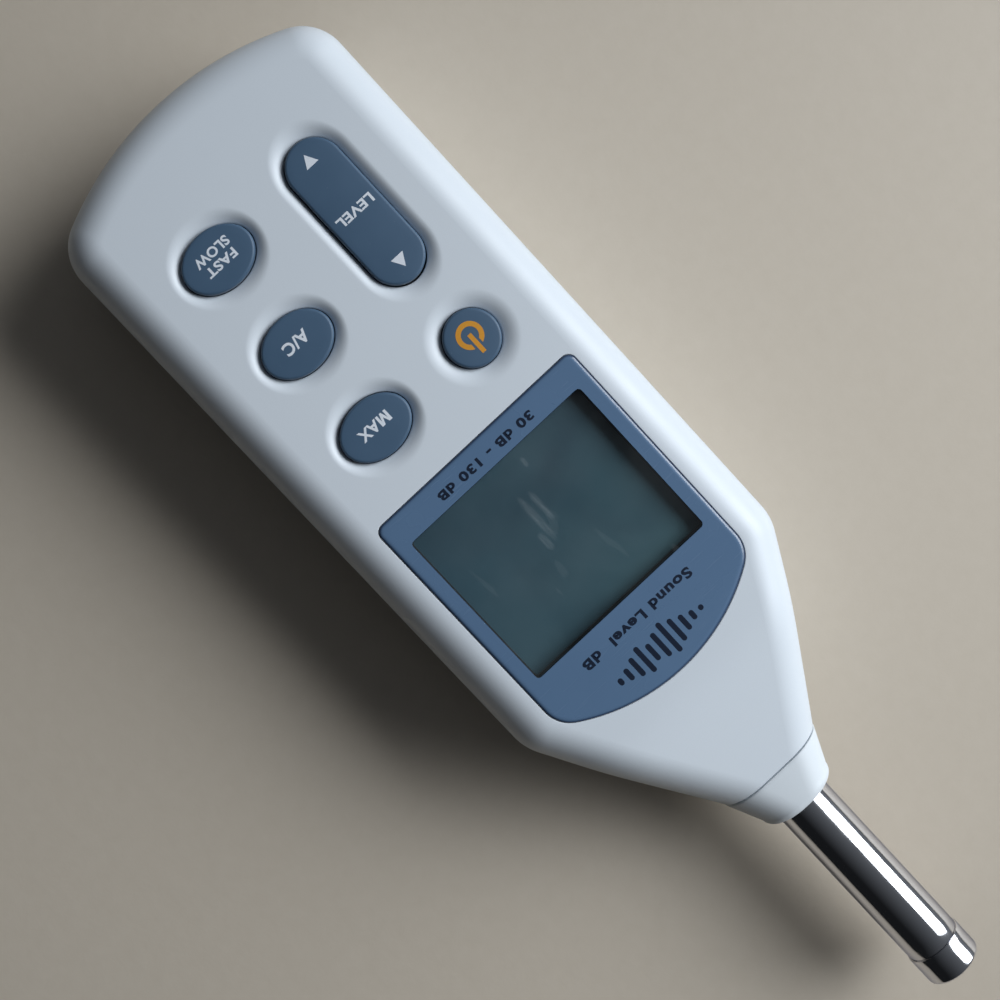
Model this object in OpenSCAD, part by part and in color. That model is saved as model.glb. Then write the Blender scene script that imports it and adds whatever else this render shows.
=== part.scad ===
// Hand-held sound level meter, millimetres.
// Origin: tripod thread axis on the resting rear face. +X reader's right, +Y towards the
// microphone, +Z out of the front face. The two housing halves meet at z = parting_z.

/* [Housing] */
// Width across the straight sides
body_w = 70; // [70:0.5:74]
// Overall depth, rear face to display panel
body_t = 35; // [34.5:0.5:38]
// Tripod thread to the end of the tail
tail_len = 85; // [85:0.5:89]
// Tripod thread to the seam where the collar starts
nose_y = 100.5; // [100:0.5:103]
// Radius of the bowed tail
tail_r = 72; // [68:1:100]
// Radius of the two tail corners
corner_r = 10; // [9:0.5:12]
// Tripod thread to the point where the sides start to taper
shoulder_y = 59.5; // [59:0.5:61]
// Half width of the nose at the seam
nose_half_w = 12.8; // [12.4:0.1:13.4]
// Half depth of the nose at the seam
nose_half_h = 8.6; // [8.5:0.1:9.2]
// Wall thickness
wall = 2.2; // [2:0.1:2.4]
// Rounding of the front edge
front_edge_r = 8; // [7:0.1:8.2]
// Rounding of the rear edge
rear_edge_r = 5.5; // [4.5:0.1:5.6]

/* [Display] */
// Half width of the coloured display panel
panel_half_w = 26.4; // [26:0.1:27]
// Lowest edge of the panel
panel_bottom = 5.6; // [5:0.1:6]
// Crown of the panel's domed top
panel_top = 68.3; // [67:0.1:69]
// Radius of the domed top
dome_r = 43; // [40:1:48]
// Width of the window
window_w = 45.6; // [44:0.2:46]
// Height of the window
window_h = 37.4; // [36:0.2:38]
// Centre of the window
window_y = 31; // [30.5:0.1:31.5]

/* [Keys] */
// Length and width of the oval keys
oval_w = 16; // [15:0.2:17]
oval_h = 12; // [11:0.2:13]
// Diameter of the round power key
power_d = 11.9; // [11:0.1:13]
// Width and length of the level rocker
rocker_w = 12.1; // [11:0.1:13]
rocker_len = 34.6; // [32:0.1:36]
// Centre line of the oval keys
oval_x = 12.1; // [11.5:0.1:12.5]
// Centre line of the power key and the rocker
rocker_x = -13.9; // [-14.5:0.1:-13]
// Middle of the first row of keys
row_y = -9.2; // [-10:0.1:-9]
// Distance between rows
row_pitch = 22.35; // [21:0.05:22.5]
// Gap round a key in its hole
key_gap = 0.2; // [0.2:0.05:0.4]
// Gap round the rocker, which also tilts
rocker_gap = 0.4; // [0.35:0.05:0.5]

/* [Microphone] */
// Diameter of the microphone tube, the half-inch class
tube_d = 12.7; // [12.5:0.1:12.8]
// Diameter of the cap on the tube
cap_d = 13.2; // [13.1:0.1:13.4]
// Length of the collar
collar_len = 10.5; // [10:0.5:12]
// Visible length of the tube, collar to cap
tube_len = 43.8; // [40:0.1:50]
// Length of the cap
cap_len = 7.2; // [7:0.1:8]

/* [Battery] */
// Diameter of an AA cell
cell_d = 14.3; // [14:0.1:14.4]
// Length of an AA cell with its positive nub
cell_len = 50.5; // [50:0.1:50.5]
// Distance between neighbouring cells
cell_pitch = 14.6; // [14.6:0.1:14.7]
// Gap round the battery door
door_gap = 0.2; // [0.15:0.05:0.3]

/* [Sockets] */
// Tap-drill diameter of the 1/4-20 tripod thread
tripod_d = 5.2; // [5.1:0.1:5.3]
// Bore of the 3.5 mm output jack
output_d = 3.6; // [3.5:0.1:3.7]
// Bore of the power jack
dc_d = 5.6; // [5.5:0.1:5.7]

/* [Hidden] */
$fn = 48;

parting_z = body_t / 2;
proud = 0.4;                         // panel and keys stand this far off the housing face
face_z = body_t - proud;
front_h = face_z - parting_z;
rear_h = parting_z;
half_w = body_w / 2;
shoulder_r = 12;
taper = atan((half_w - nose_half_w) / (nose_y - shoulder_y));
slope_y = 70;                        // the faces start to fall towards the nose here
slope_bend = 0.35;                   // share of the fall taken by its curved start
bulkhead_t = 8;                      // solid nose wall that carries the collar
bulkhead_y = nose_y - bulkhead_t;
edge_steps = 5;
cut = 1;                             // overrun of a cutting solid

window_d = 0.9;                      // corner radius of the window
gasket_w = 1.2;                      // width of the black foam gasket round the window
gasket_gap = 0.05;
panel_t = 1.95;
panel_fillet = 7;
panel_corner = 2;
panel_gap = 0.15;
recess_z = body_t - panel_t - 0.05;
pad_z = recess_z - 0.8;              // underside of the pad behind the panel

lcd_half = [24.5, 21];
lcd_low = 29.2;
lcd_high = pad_z - 0.2;

board_z = 24;
board_t = 1.6;
board_top = board_z + board_t;
board_half_w = 27.5;
board_low = -68;
board_high = 66;
post_xy = [[24.4, 61.5], [-24.4, 61.5], [24.4, -64], [-24.4, -64]];
case_xy = [[15.5, 77], [-15.5, 77], [20, -75], [-20, -75]];
boss_r = 3.2;
boss_low = 2;                         // the rear bosses stand on the inside of the rear face
screw_r = 1.3;
pilot_r = 1.45;

key_top = body_t;
key_low = 27.5;
flange_t = 0.9;
flange_top = face_z - wall - 0.3;
flange_w = 1;
dish_depth = 1.2;
round_dish = [3.4, 3.4];
oval_dish = [2.1, 3.1];
rocker_dish = [2.2, 3.6];
sheet_t = 1;
contact_r = 2.4;
contact_low = key_low - 1;
rocker_y = row_y - 1.5 * row_pitch;
oval = [oval_w / 2, oval_h / 2, 0];
round_key = [power_d / 2, power_d / 2, 0];
rocker = [rocker_w / 2, rocker_w / 2, (rocker_len - rocker_w) / 2];
rocker_contact = 12;
pivot_z = key_low + 0.4;             // the rocker tilts about this height
pivot_r = 0.85;
pivot_half = 5;

tube_r = tube_d / 2;
tube_bore = 5.5;
sleeve_r = 7.5;
collar_y = nose_y + collar_len;
cap_y = collar_y + tube_len;
tip_y = cap_y + cap_len;
cap_r = cap_d / 2;
tube_back = bulkhead_y - 7;

bay_x = 29.4;
bay_wall = 2.3;
bay_low = -70;
bay_high = -13.5;
bay_top = 17.6;
door_t = 2;
door_travel = 8;                     // the door slides this far towards the tail, then lifts off
door_high = bay_high + 1.5;          // upper end of the door's seat
door_seat = door_t + 0.1;            // depth of the seat
tab_y = [-60, -42, -24];             // lower ends of the door's side tabs
tab_len = 6;
tab_w = 1;
tab_low = 1;                         // the tabs lie between this height and the door's inner face
cell_z = 9.9;
cell_x = [for (i = [-1.5:1:1.5]) i * cell_pitch];
plate_t = 0.4;

jack_z = 19.8;
output_y = 44;
dc_y = 30;
cal_y = 17;
jack_nose_r = [3, 4];

// ---- outlines -------------------------------------------------------------------------

function arc(c, r, a0, a1, n) =
    [for (i = [0:n]) let(a = a0 + (a1 - a0) * i / n) [c[0] + r * cos(a), c[1] + r * sin(a)]];

// Closes a right half outline, which starts on x = 0, with its mirror image
function mirrored(half) =
    let(n = len(half), last = half[n - 1][0] < 0.01 ? n - 2 : n - 1)
    concat(half, [for (i = [last:-1:1]) [-half[i][0], half[i][1]]]);

// Ellipse of half axes key[0], key[1], parted by 2 * key[2] along y, grown by gx and gy
function key_ring(key, gx, gy, n = 16) = mirrored(concat(
    [for (i = [0:n]) let(a = -90 + 90 * i / n)
        [(key[0] + gx) * cos(a), (key[1] + gy) * sin(a) - key[2]]],
    [for (i = [(key[2] > 0 ? 0 : 1):n]) let(a = 90 * i / n)
        [(key[0] + gx) * cos(a), (key[1] + gy) * sin(a) + key[2]]]));
function key_outline(key, g) = key_ring(key, g, g);

// Housing outline inset by d, open end cut square at y_end
function body_outline(d, y_end) =
    let(
        tail_c = [0, tail_r - tail_len],
        corner_x = half_w - corner_r,
        corner_y = tail_c[1] - sqrt(pow(tail_r - corner_r, 2) - corner_x * corner_x),
        corner_a = atan2(corner_y - tail_c[1], corner_x),
        bend_c = [half_w - shoulder_r, shoulder_y - shoulder_r * tan(taper / 2)],
        from = [bend_c[0] + (shoulder_r - d) * cos(taper), bend_c[1] + (shoulder_r - d) * sin(taper)],
        to = [from[0] - (y_end - from[1]) * tan(taper), y_end],
        steps = 6
    )
    mirrored(concat(
        arc(tail_c, tail_r - d, -90, corner_a, 5),
        [for (i = [1:4]) let(a = corner_a * (1 - i / 4))
            [corner_x + (corner_r - d) * cos(a), corner_y + (corner_r - d) * sin(a)]],
        arc(bend_c, shoulder_r - d, 0, taper, 2),
        [for (i = [1:steps]) from + (to - from) * i / steps]
    ));

// Display panel outline inset by d
function panel_outline(d) =
    let(
        fillet_x = panel_half_w - panel_fillet,
        dome_y = panel_top - dome_r,
        fillet_y = dome_y + sqrt(pow(dome_r - panel_fillet, 2) - fillet_x * fillet_x),
        fillet_a = atan2(fillet_y - dome_y, fillet_x)
    )
    mirrored(concat(
        [[0, panel_bottom + d]],
        arc([panel_half_w - panel_corner, panel_bottom + panel_corner], panel_corner - d, -90, 0, 4),
        arc([fillet_x, fillet_y], panel_fillet - d, 0, fillet_a, 6),
        [for (i = [1:8]) let(a = fillet_a + (90 - fillet_a) * i / 8)
            [(dome_r - d) * cos(a), dome_y + (dome_r - d) * sin(a)]]
    ));

// Share of the fall from the flat face to the nose, 0 before slope_y and 1 at the seam
function fall(y) =
    let(u = max(0, (y - slope_y) / (nose_y - slope_y)))
    u < slope_bend ? u * u / (slope_bend * (2 - slope_bend)) : (2 * u - slope_bend) / (2 - slope_bend);

// Height of a half's face above the parting plane
function face_height(y, face_h) = face_h - (face_h - nose_half_h) * fall(y);

function ring_at(outline, z) = [for (p = outline) [p[0], p[1], z]];

// ---- solids ---------------------------------------------------------------------------

// Skin over rings of 3-D points, each anticlockwise seen from the last ring
module skin(rings) {
    n = len(rings[0]);
    m = len(rings);
    top = (m - 1) * n;
    points = [for (ring = rings) each ring];
    sides = [for (k = [0:m - 2], i = [0:n - 1]) let(j = (i + 1) % n)
        [k * n + i, (k + 1) * n + i, (k + 1) * n + j, k * n + j]];
    strips = [for (i = [0:floor(n / 2) - 1])
        i == 0 ? [0, n - 1, 1]
        : n - i - 1 == i + 1 ? [i, n - i, i + 1]
        : [i, n - i, n - i - 1, i + 1]];
    upper = [for (s = strips) [for (i = s) i + top]];
    lower = [for (s = strips) [for (i = [len(s) - 1:-1:0]) s[i]]];
    polyhedron(points, concat(sides, upper, lower));
}

// One half of the housing above z = -below, inset by d, with a rounded edge
module half_body(face_h, edge_r, d, y_end, below) {
    skin(concat(
        [ring_at(body_outline(d, y_end), -below)],
        [for (k = [0:edge_steps])
            let(a = 90 * k / edge_steps)
            [for (p = body_outline(d + edge_r * (1 - cos(a)), y_end))
                [p[0], p[1], face_height(p[1], face_h - d) - edge_r * (1 - sin(a))]]]
    ));
}

module half_shell(face_h, edge_r) {
    difference() {
        half_body(face_h, edge_r, 0, nose_y, 0);
        half_body(face_h, edge_r - wall, wall, bulkhead_y, cut);
    }
}

module flat_prism(outline, z0, z1) {
    translate([0, 0, z0]) linear_extrude(z1 - z0) polygon(outline);
}

module box(low, high) {
    translate(low) cube(high - low);
}

// Rod along +Y from y0 to y1
module rod_y(x, z, r, y0, y1) {
    translate([x, y0, z]) rotate([-90, 0, 0]) cylinder(r = r, h = y1 - y0);
}

// Rod along +X from x0 to x1
module rod_x(y, z, r, x0, x1) {
    translate([x0, y, z]) rotate([0, 90, 0]) cylinder(r = r, h = x1 - x0);
}

function unit(v) = v / norm(v);

// Round wire of radius r along a path; ref is a direction the path never follows
module wire(path, r, ref, sides = 6) {
    n = len(path);
    skin([for (i = [0:n - 1])
        let(
            t = unit(path[min(i + 1, n - 1)] - path[max(i - 1, 0)]),
            s = unit(cross(t, ref)),
            u = cross(t, s)
        )
        [for (k = [0:sides - 1]) let(a = 360 * k / sides) path[i] + r * cos(a) * s + r * sin(a) * u]]);
}

// Smooth path through four control points
function bezier(p, n) = [for (i = [0:n]) let(u = i / n, v = 1 - u)
    v * v * v * p[0] + 3 * v * v * u * p[1] + 3 * v * u * u * p[2] + u * u * u * p[3]];

// Side openings for the jacks and the calibration trimmer, through both halves
module side_openings() {
    rod_x(output_y, jack_z, jack_nose_r[0] + 0.1, -half_w - cut, -half_w + wall + cut);
    rod_x(dc_y, jack_z, jack_nose_r[1] + 0.1, -half_w - cut, -half_w + wall + cut);
    rod_x(cal_y, jack_z, 1.8, -half_w - cut, -half_w + wall + cut);
}

// ---- housing --------------------------------------------------------------------------

// Hole for a key and the dish round it, which is dish[0] wide beside the key and dish[1] at its ends
module key_well(key, dish, x, y, gap) {
    translate([x, y, 0]) {
        flat_prism(key_outline(key, gap), pad_z - cut, body_t);
        skin([
            for (u = [0.2, 0.6, 0.9, 1.3])
                ring_at(key_ring(key, dish[0] * u, dish[1] * u), face_z - dish_depth * (u > 1 ? -1 : 1 - pow(u, 1.5)))
        ]);
    }
}

module front_cover() {
    color("whitesmoke") difference() {
        union() {
            translate([0, 0, parting_z]) half_shell(front_h, front_edge_r);
            flat_prism(panel_outline(-1.2), pad_z, face_z - wall + 0.1);
            for (p = post_xy) translate([p[0], p[1], board_top])
                cylinder(r = boss_r - 0.6, h = face_z - wall - board_top + 0.2, $fn = 12);
            for (p = case_xy) translate([p[0], p[1], parting_z])
                cylinder(r = boss_r, h = 14, $fn = 12);
        }
        flat_prism(panel_outline(0), recess_z, body_t);
        translate([0, window_y, body_t / 2])
            linear_extrude(body_t) square([window_w + 2 * gasket_w, window_h + 2 * gasket_w], center = true);
        key_well(round_key, round_dish, rocker_x, row_y, key_gap);
        for (i = [0:2]) key_well(oval, oval_dish, oval_x, row_y - i * row_pitch, key_gap);
        key_well(rocker, rocker_dish, rocker_x, rocker_y, rocker_gap);
        for (p = post_xy) translate([p[0], p[1], board_top - cut])
            cylinder(r = 1.05, h = 6 + cut, $fn = 12);
        for (p = case_xy) translate([p[0], p[1], parting_z - cut])
            cylinder(r = pilot_r, h = 9 + cut, $fn = 12);
        rod_y(0, parting_z, sleeve_r + 0.1, bulkhead_y - cut, nose_y + cut);
        side_openings();
    }
}

module rear_solid() {
    translate([0, 0, parting_z]) mirror([0, 0, 1])
        half_body(rear_h, rear_edge_r, 0, nose_y, 0);
}

module rear_cover() {
    groove_x = bay_x + tab_w + 0.15;
    color("whitesmoke") difference() {
        union() {
            translate([0, 0, parting_z]) mirror([0, 0, 1]) half_shell(rear_h, rear_edge_r);
            // floor under the tail end of the door
            intersection() {
                rear_solid();
                box([-half_w, -tail_len, 1], [half_w, bay_low, door_seat + wall]);
            }
            box([-bay_x - bay_wall, bay_low - 1.6, 1], [bay_x + bay_wall, -8, bay_top + 1.2]);
            for (p = case_xy) translate([p[0], p[1], boss_low])
                cylinder(r = boss_r, h = parting_z - boss_low);
            translate([0, 0, 1]) cylinder(r = 6.8, h = 8.5);
        }
        // battery bay and the door's seat
        box([-bay_x, bay_low, 1], [bay_x, bay_high, bay_top]);
        box([-bay_x, -tail_len - cut, -cut], [bay_x, door_high, door_seat]);
        // each tab has a groove to slide along and, at the end of its travel, a notch to lift through
        for (y = tab_y) {
            box([-groove_x, y - door_travel - 0.2, tab_low - 0.1], [groove_x, y + tab_len + 0.2, door_seat]);
            box([-groove_x, y - door_travel - 0.2, -cut], [groove_x, y - door_travel + tab_len + 0.2, door_seat]);
        }
        // case screws
        for (p = case_xy) translate([p[0], p[1], -cut]) {
            cylinder(r = screw_r + 0.2, h = body_t);
            cylinder(r = 2.8, h = 7 + cut);
        }
        translate([0, 0, -cut]) cylinder(r = 5, h = 8 + cut);
        rod_y(0, parting_z, sleeve_r + 0.1, bulkhead_y - cut, nose_y + cut);
        side_openings();
    }
}

// Sliding door, flush with the rear face and rounded with the tail
module battery_door() {
    door_x = bay_x - door_gap;
    color("whitesmoke") difference() {
        union() {
            intersection() {
                rear_solid();
                box([-door_x, -tail_len - cut, 0], [door_x, door_high - door_gap, door_t]);
            }
            for (s = [-1, 1], y = tab_y)
                box([min(s * (door_x - 1), s * (bay_x + tab_w)), y, tab_low],
                    [max(s * (door_x - 1), s * (bay_x + tab_w)), y + tab_len, door_t]);
        }
        // thumb grooves near the tail
        for (i = [0:4]) box([-10, -tail_len + 9 + 2.4 * i, -cut], [10, -tail_len + 10.2 + 2.4 * i, 0.5]);
    }
}

module tripod_insert() {
    color("goldenrod") difference() {
        cylinder(r = 5, h = 8);
        translate([0, 0, -cut]) cylinder(d = tripod_d, h = 8 + 2 * cut);
    }
}

module case_screws() {
    color("dimgray") for (p = case_xy) translate([p[0], p[1], 0]) {
        translate([0, 0, 7]) cylinder(r = screw_r, h = 17);
        difference() {
            translate([0, 0, 5]) cylinder(r = 2.5, h = 2);
            box([-0.35, -1.6, 4], [0.35, 1.6, 6]);
            box([-1.6, -0.35, 4], [1.6, 0.35, 6]);
        }
    }
}

// ---- display --------------------------------------------------------------------------

module display_panel() {
    color("steelblue") difference() {
        flat_prism(panel_outline(panel_gap), body_t - panel_t, body_t);
        translate([0, window_y, 0]) linear_extrude(body_t + cut) window_outline();
    }
}

// Clear pane in the panel's window
module window_pane() {
    color("lightcyan") translate([0, window_y, body_t - 1]) linear_extrude(0.95) window_outline();
}

module window_outline() {
    offset(r = window_d) square([window_w - 2 * window_d, window_h - 2 * window_d], center = true);
}

// Foam gasket that keeps dust out between the pane and the glass
module lcd_gasket() {
    outer = [window_w / 2 + gasket_w - gasket_gap, window_h / 2 + gasket_w - gasket_gap];
    inner = [window_w / 2 - 0.2, window_h / 2 - 0.2];
    color("black") translate([0, window_y, 0]) difference() {
        box([-outer[0], -outer[1], lcd_high], [outer[0], outer[1], recess_z]);
        box([-inner[0], -inner[1], lcd_high - cut], [inner[0], inner[1], recess_z + cut]);
    }
}

module lcd_frame() {
    color("dimgray") translate([0, window_y, 0]) difference() {
        box([-lcd_half[0] - 1.8, -lcd_half[1] - 1.8, board_top], [lcd_half[0] + 1.8, lcd_half[1] + 1.8, lcd_high]);
        box([-lcd_half[0] - 0.1, -lcd_half[1] - 0.1, lcd_low], [lcd_half[0] + 0.1, lcd_half[1] + 0.1, body_t]);
        box([-lcd_half[0] + 1, -lcd_half[1] + 0.2, board_top - cut], [lcd_half[0] - 1, lcd_half[1] - 0.2, body_t]);
    }
}

module lcd_glass() {
    color("darkslategray") translate([0, window_y, 0])
        box([-lcd_half[0], -lcd_half[1], lcd_low], [lcd_half[0], lcd_half[1], lcd_high - 0.1]);
}

module lcd_backlight() {
    color("white") translate([0, window_y, 0])
        box([-22, -17, board_top], [22, 17, lcd_low - 0.2]);
}

module zebra_strips() {
    color("pink") translate([0, window_y, 0]) for (s = [-1, 1])
        translate([0, s * (lcd_half[1] - 1.7), (board_top + lcd_low) / 2])
            cube([42, 2.2, lcd_low - board_top], center = true);
}

// ---- electronics ----------------------------------------------------------------------

module main_board() {
    color("seagreen") difference() {
        box([-board_half_w, board_low, board_z], [board_half_w, board_high, board_top]);
        for (p = post_xy) translate([p[0], p[1], 0]) cylinder(r = 1.2, h = body_t);
    }
}

module board_screws() {
    color("silver") for (p = post_xy) translate([p[0], p[1], 0]) {
        translate([0, 0, board_z - 1.2]) cylinder(r = 2, h = 1.2);
        translate([0, 0, board_z - 0.1]) cylinder(r = 0.95, h = 6.5);
    }
}

module microcontroller() {
    color("black") {
        box([-8, 24, board_z - 1.6], [6, 38, board_z - 0.1]);
        for (s = [-1, 1], i = [-5:5]) {
            box([-1 + s * 7.5 - 1, 31 + i * 1.1 - 0.2, board_z - 0.4], [-1 + s * 7.5 + 1, 31 + i * 1.1 + 0.2, board_z]);
        }
    }
}

// Capacitors, a crystal and the amplifier chips on the underside of the board
module board_parts() {
    color("darkslategray") {
        for (x = [10, 17]) translate([x, 52, board_z - 5.5]) cylinder(r = 2.5, h = 5.5);
        translate([12, 24, board_z - 3]) cube([5, 11, 3]);
        for (y = [48, 56]) box([-12, y - 2.5, board_z - 1.5], [-4, y + 2.5, board_z]);
        box([-6, 4, board_z - 3.2], [6, 12, board_z]);
    }
}

module output_jack() {
    color("black") jack(output_y, jack_nose_r[0], output_d / 2, [4, 12]);
}

module dc_jack() {
    color("black") jack(dc_y, jack_nose_r[1], dc_d / 2, [4.2, 13]);
}

// Panel jack: a nose in the side wall, a body under the board, and a blind bore
module jack(y, nose_r, bore_r, body) {
    difference() {
        union() {
            rod_x(y, jack_z, nose_r, -half_w + 0.1, -half_w + wall + 0.5);
            box([-half_w + wall + 0.2, y - body[0], board_z - 8.4], [-half_w + wall + 0.2 + body[1], y + body[0], board_z]);
        }
        rod_x(y, jack_z, bore_r, -half_w - cut, -half_w + 10);
    }
}

module cal_trimmer() {
    color("royalblue") difference() {
        box([-half_w + 3.4, cal_y - 3.4, board_z - 7.4], [-half_w + 9.4, cal_y + 3.4, board_z]);
        rod_x(cal_y, jack_z, 1.55, -half_w + 2, -half_w + 6);
    }
}

module cal_rotor() {
    color("gold") difference() {
        rod_x(cal_y, jack_z, 1.5, -half_w + 2.6, -half_w + 5.9);
        box([-half_w + 2, cal_y - 2, jack_z - 0.3], [-half_w + 3.4, cal_y + 2, jack_z + 0.3]);
    }
}

// ---- keys -----------------------------------------------------------------------------

// Silicone web on the board, open under each key and round the rocker's pivot
module keypad_sheet() {
    color("slategray") difference() {
        box([-24, -61, board_top], [24, 1.5, board_top + sheet_t]);
        translate([rocker_x, row_y]) flat_prism(key_outline(round_key, 0.8), board_top - cut, key_low);
        for (i = [0:2]) translate([oval_x, row_y - i * row_pitch])
            flat_prism(key_outline(oval, 0.8), board_top - cut, key_low);
        for (s = [-1, 1]) translate([rocker_x, rocker_y + s * rocker_contact])
            flat_prism(key_outline([4.5, 4.5, 0], 0), board_top - cut, key_low);
        translate([rocker_x, rocker_y, board_top])
            cube([2 * pivot_half + 0.6, 2.8, 3], center = true);
    }
}

// Bridge on the board whose round bar the rocker tilts on
module rocker_pivot() {
    color("ivory") {
        rod_x(rocker_y, pivot_z, pivot_r, rocker_x - pivot_half, rocker_x + pivot_half);
        box([rocker_x - pivot_half, rocker_y - 0.55, board_top + 0.3], [rocker_x + pivot_half, rocker_y + 0.55, pivot_z]);
        box([rocker_x - pivot_half, rocker_y - 1.1, board_top], [rocker_x + pivot_half, rocker_y + 1.1, board_top + 0.5]);
    }
}

// Key with a flange under the cover; flange_half limits the flange along y
module key_body(key, x, y, flange_half) {
    translate([x, y, 0]) {
        flat_prism(key_outline(key, 0), key_low, key_top);
        intersection() {
            flat_prism(key_outline(key, flange_w), flange_top - flange_t, flange_top);
            box([-20, -flange_half, 0], [20, flange_half, body_t]);
        }
    }
}

module contact(x, y) {
    translate([x, y, contact_low]) cylinder(r = contact_r, h = key_low - contact_low);
}

module power_key() {
    color("slategray") key_body(round_key, rocker_x, row_y, 20);
}

module power_contact() {
    color("black") contact(rocker_x, row_y);
}

module max_key() {
    color("slategray") key_body(oval, oval_x, row_y, 20);
}

module max_contact() {
    color("black") contact(oval_x, row_y);
}

module weighting_key() {
    color("slategray") key_body(oval, oval_x, row_y - row_pitch, 20);
}

module weighting_contact() {
    color("black") contact(oval_x, row_y - row_pitch);
}

module response_key() {
    color("slategray") key_body(oval, oval_x, row_y - 2 * row_pitch, 20);
}

module response_contact() {
    color("black") contact(oval_x, row_y - 2 * row_pitch);
}

module level_key() {
    groove = pivot_half + 0.3;
    color("slategray") difference() {
        key_body(rocker, rocker_x, rocker_y, 5);
        rod_x(rocker_y, pivot_z, pivot_r + 0.05, rocker_x - groove, rocker_x + groove);
        box([rocker_x - groove, rocker_y - pivot_r - 0.05, key_low - cut], [rocker_x + groove, rocker_y + pivot_r + 0.05, pivot_z]);
    }
}

module level_contacts() {
    color("black") for (s = [-1, 1]) contact(rocker_x, rocker_y + s * rocker_contact);
}

// ---- microphone -----------------------------------------------------------------------

// Rounded-oblong section of the collar, half width w and half height h, at y
function collar_ring(w, h, y, n = 8) =
    let(side = w - h)
    [for (p = mirrored([for (s = [1, -1], i = [0:n]) let(a = 90 * i / n + (s > 0 ? 0 : 90))
        [h * sin(a), s * side + h * cos(a)]]))
        [p[1], y, parting_z - p[0]]];

module nose_collar() {
    end_w = 9.3;
    end_h = 7.9;
    rim = 2;
    color("white") difference() {
        union() {
            skin([
                collar_ring(nose_half_w, nose_half_h, nose_y + 0.3),
                collar_ring(end_w, end_h, collar_y - rim),
                for (a = [30:30:90])
                    collar_ring(end_w - rim * (1 - cos(a)), end_h - 0.5 * rim * (1 - cos(a)), collar_y - rim * (1 - sin(a)))
            ]);
            rod_y(0, parting_z, sleeve_r, bulkhead_y, nose_y + cut);
        }
        rod_y(0, parting_z, tube_r, bulkhead_y - cut, collar_y + cut);
        rod_y(0, parting_z, 6.9, collar_y - 2.6, collar_y - 1.4);
    }
}

module tube_seal() {
    color("black") difference() {
        rod_y(0, parting_z, 6.9, collar_y - 2.6, collar_y - 1.4);
        rod_y(0, parting_z, tube_r, collar_y - 3, collar_y);
    }
}

module mic_tube() {
    color("silver") difference() {
        union() {
            rod_y(0, parting_z, tube_r, tube_back, cap_y);
            rod_y(0, parting_z, 5.9, cap_y - cut, cap_y + 4.2);
        }
        rod_y(0, parting_z, tube_bore, tube_back - cut, tip_y);
    }
}

module tube_nut() {
    color("silver") difference() {
        translate([0, bulkhead_y - 3.6, parting_z]) rotate([-90, 0, 0]) cylinder(r = 9.2, h = 3.5, $fn = 6);
        rod_y(0, parting_z, tube_r, tube_back - cut, bulkhead_y);
    }
}

module mic_cap() {
    rim = 0.7;
    mouth_r = 4.7;
    color("silver") translate([0, cap_y, parting_z]) rotate([-90, 0, 0]) rotate_extrude()
        polygon(concat(
            [[5.9, 0], [cap_r, 0]],
            arc([cap_r - rim, cap_len - rim], rim, 0, 90, 4),
            [[mouth_r, cap_len], [mouth_r, cap_len - 0.8], [5.6, cap_len - 0.8], [5.6, 4.3], [5.9, 4.3]]
        ));
}

module mic_grid() {
    color("gray") difference() {
        rod_y(0, parting_z, 5.5, tip_y - 1.4, tip_y - 0.8);
        for (k = [0:6]) {
            reach = k == 0 ? 0 : 2.7;
            rod_y(reach * cos(60 * k), parting_z + reach * sin(60 * k), 0.7, tip_y - 2, tip_y);
        }
    }
}

module mic_capsule() {
    color("gray") rod_y(0, parting_z, 4.6, tip_y - 7, tip_y - 1.6);
}

module capsule_ring() {
    color("black") difference() {
        rod_y(0, parting_z, 5.45, tip_y - 7, tip_y - 3);
        rod_y(0, parting_z, 4.65, tip_y - 8, tip_y);
    }
}

module preamp_board() {
    color("seagreen") {
        box([-4, tip_y - 42, parting_z - 0.5], [4, tip_y - 8, parting_z + 0.5]);
        box([-1.5, tip_y - 30, parting_z + 0.4], [1.5, tip_y - 26, parting_z + 1.6]);
    }
}

module mic_cable() {
    color("gray") wire(bezier([
        [0, tip_y - 42.2, parting_z], [0, tube_back - 5, parting_z],
        [0, tube_back - 14, parting_z], [0, 63, board_z - 0.9]], 12), 0.8, [1, 0, 0], 8);
}

// ---- battery --------------------------------------------------------------------------

// Cells face alternate ways, so dir is +1 for the nub at +Y and -1 for -Y
function cell_dir(i) = i % 2 == 0 ? 1 : -1;
function cell_end(i) = cell_dir(i) > 0 ? bay_high - plate_t : bay_low + plate_t;

module batteries() {
    color("darkorange") for (i = [0:3]) translate([cell_x[i], cell_end(i), cell_z])
        rotate([cell_dir(i) * 90, 0, 0]) {
            translate([0, 0, 1.3]) cylinder(d = cell_d, h = cell_len - 1.3);
            cylinder(r = 2.7, h = 1.4);
        }
}

// Conical contact spring on the flat end of each cell
module battery_springs() {
    room = bay_high - bay_low - 2 * plate_t - cell_len;
    turns = 3;
    steps = 14;
    wire_r = 0.4;
    color("silver") for (i = [0:3]) {
        base = cell_dir(i) > 0 ? bay_low + plate_t : bay_high - plate_t;
        wire([for (k = [0:turns * steps])
            let(u = k / (turns * steps), a = 360 * k / steps, r = 4.6 - 1.8 * u)
            [cell_x[i] + r * cos(a), base + cell_dir(i) * (wire_r + u * (room - 2 * wire_r)), cell_z + r * sin(a)]],
            wire_r, [0, 1, 0]);
    }
}

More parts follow.
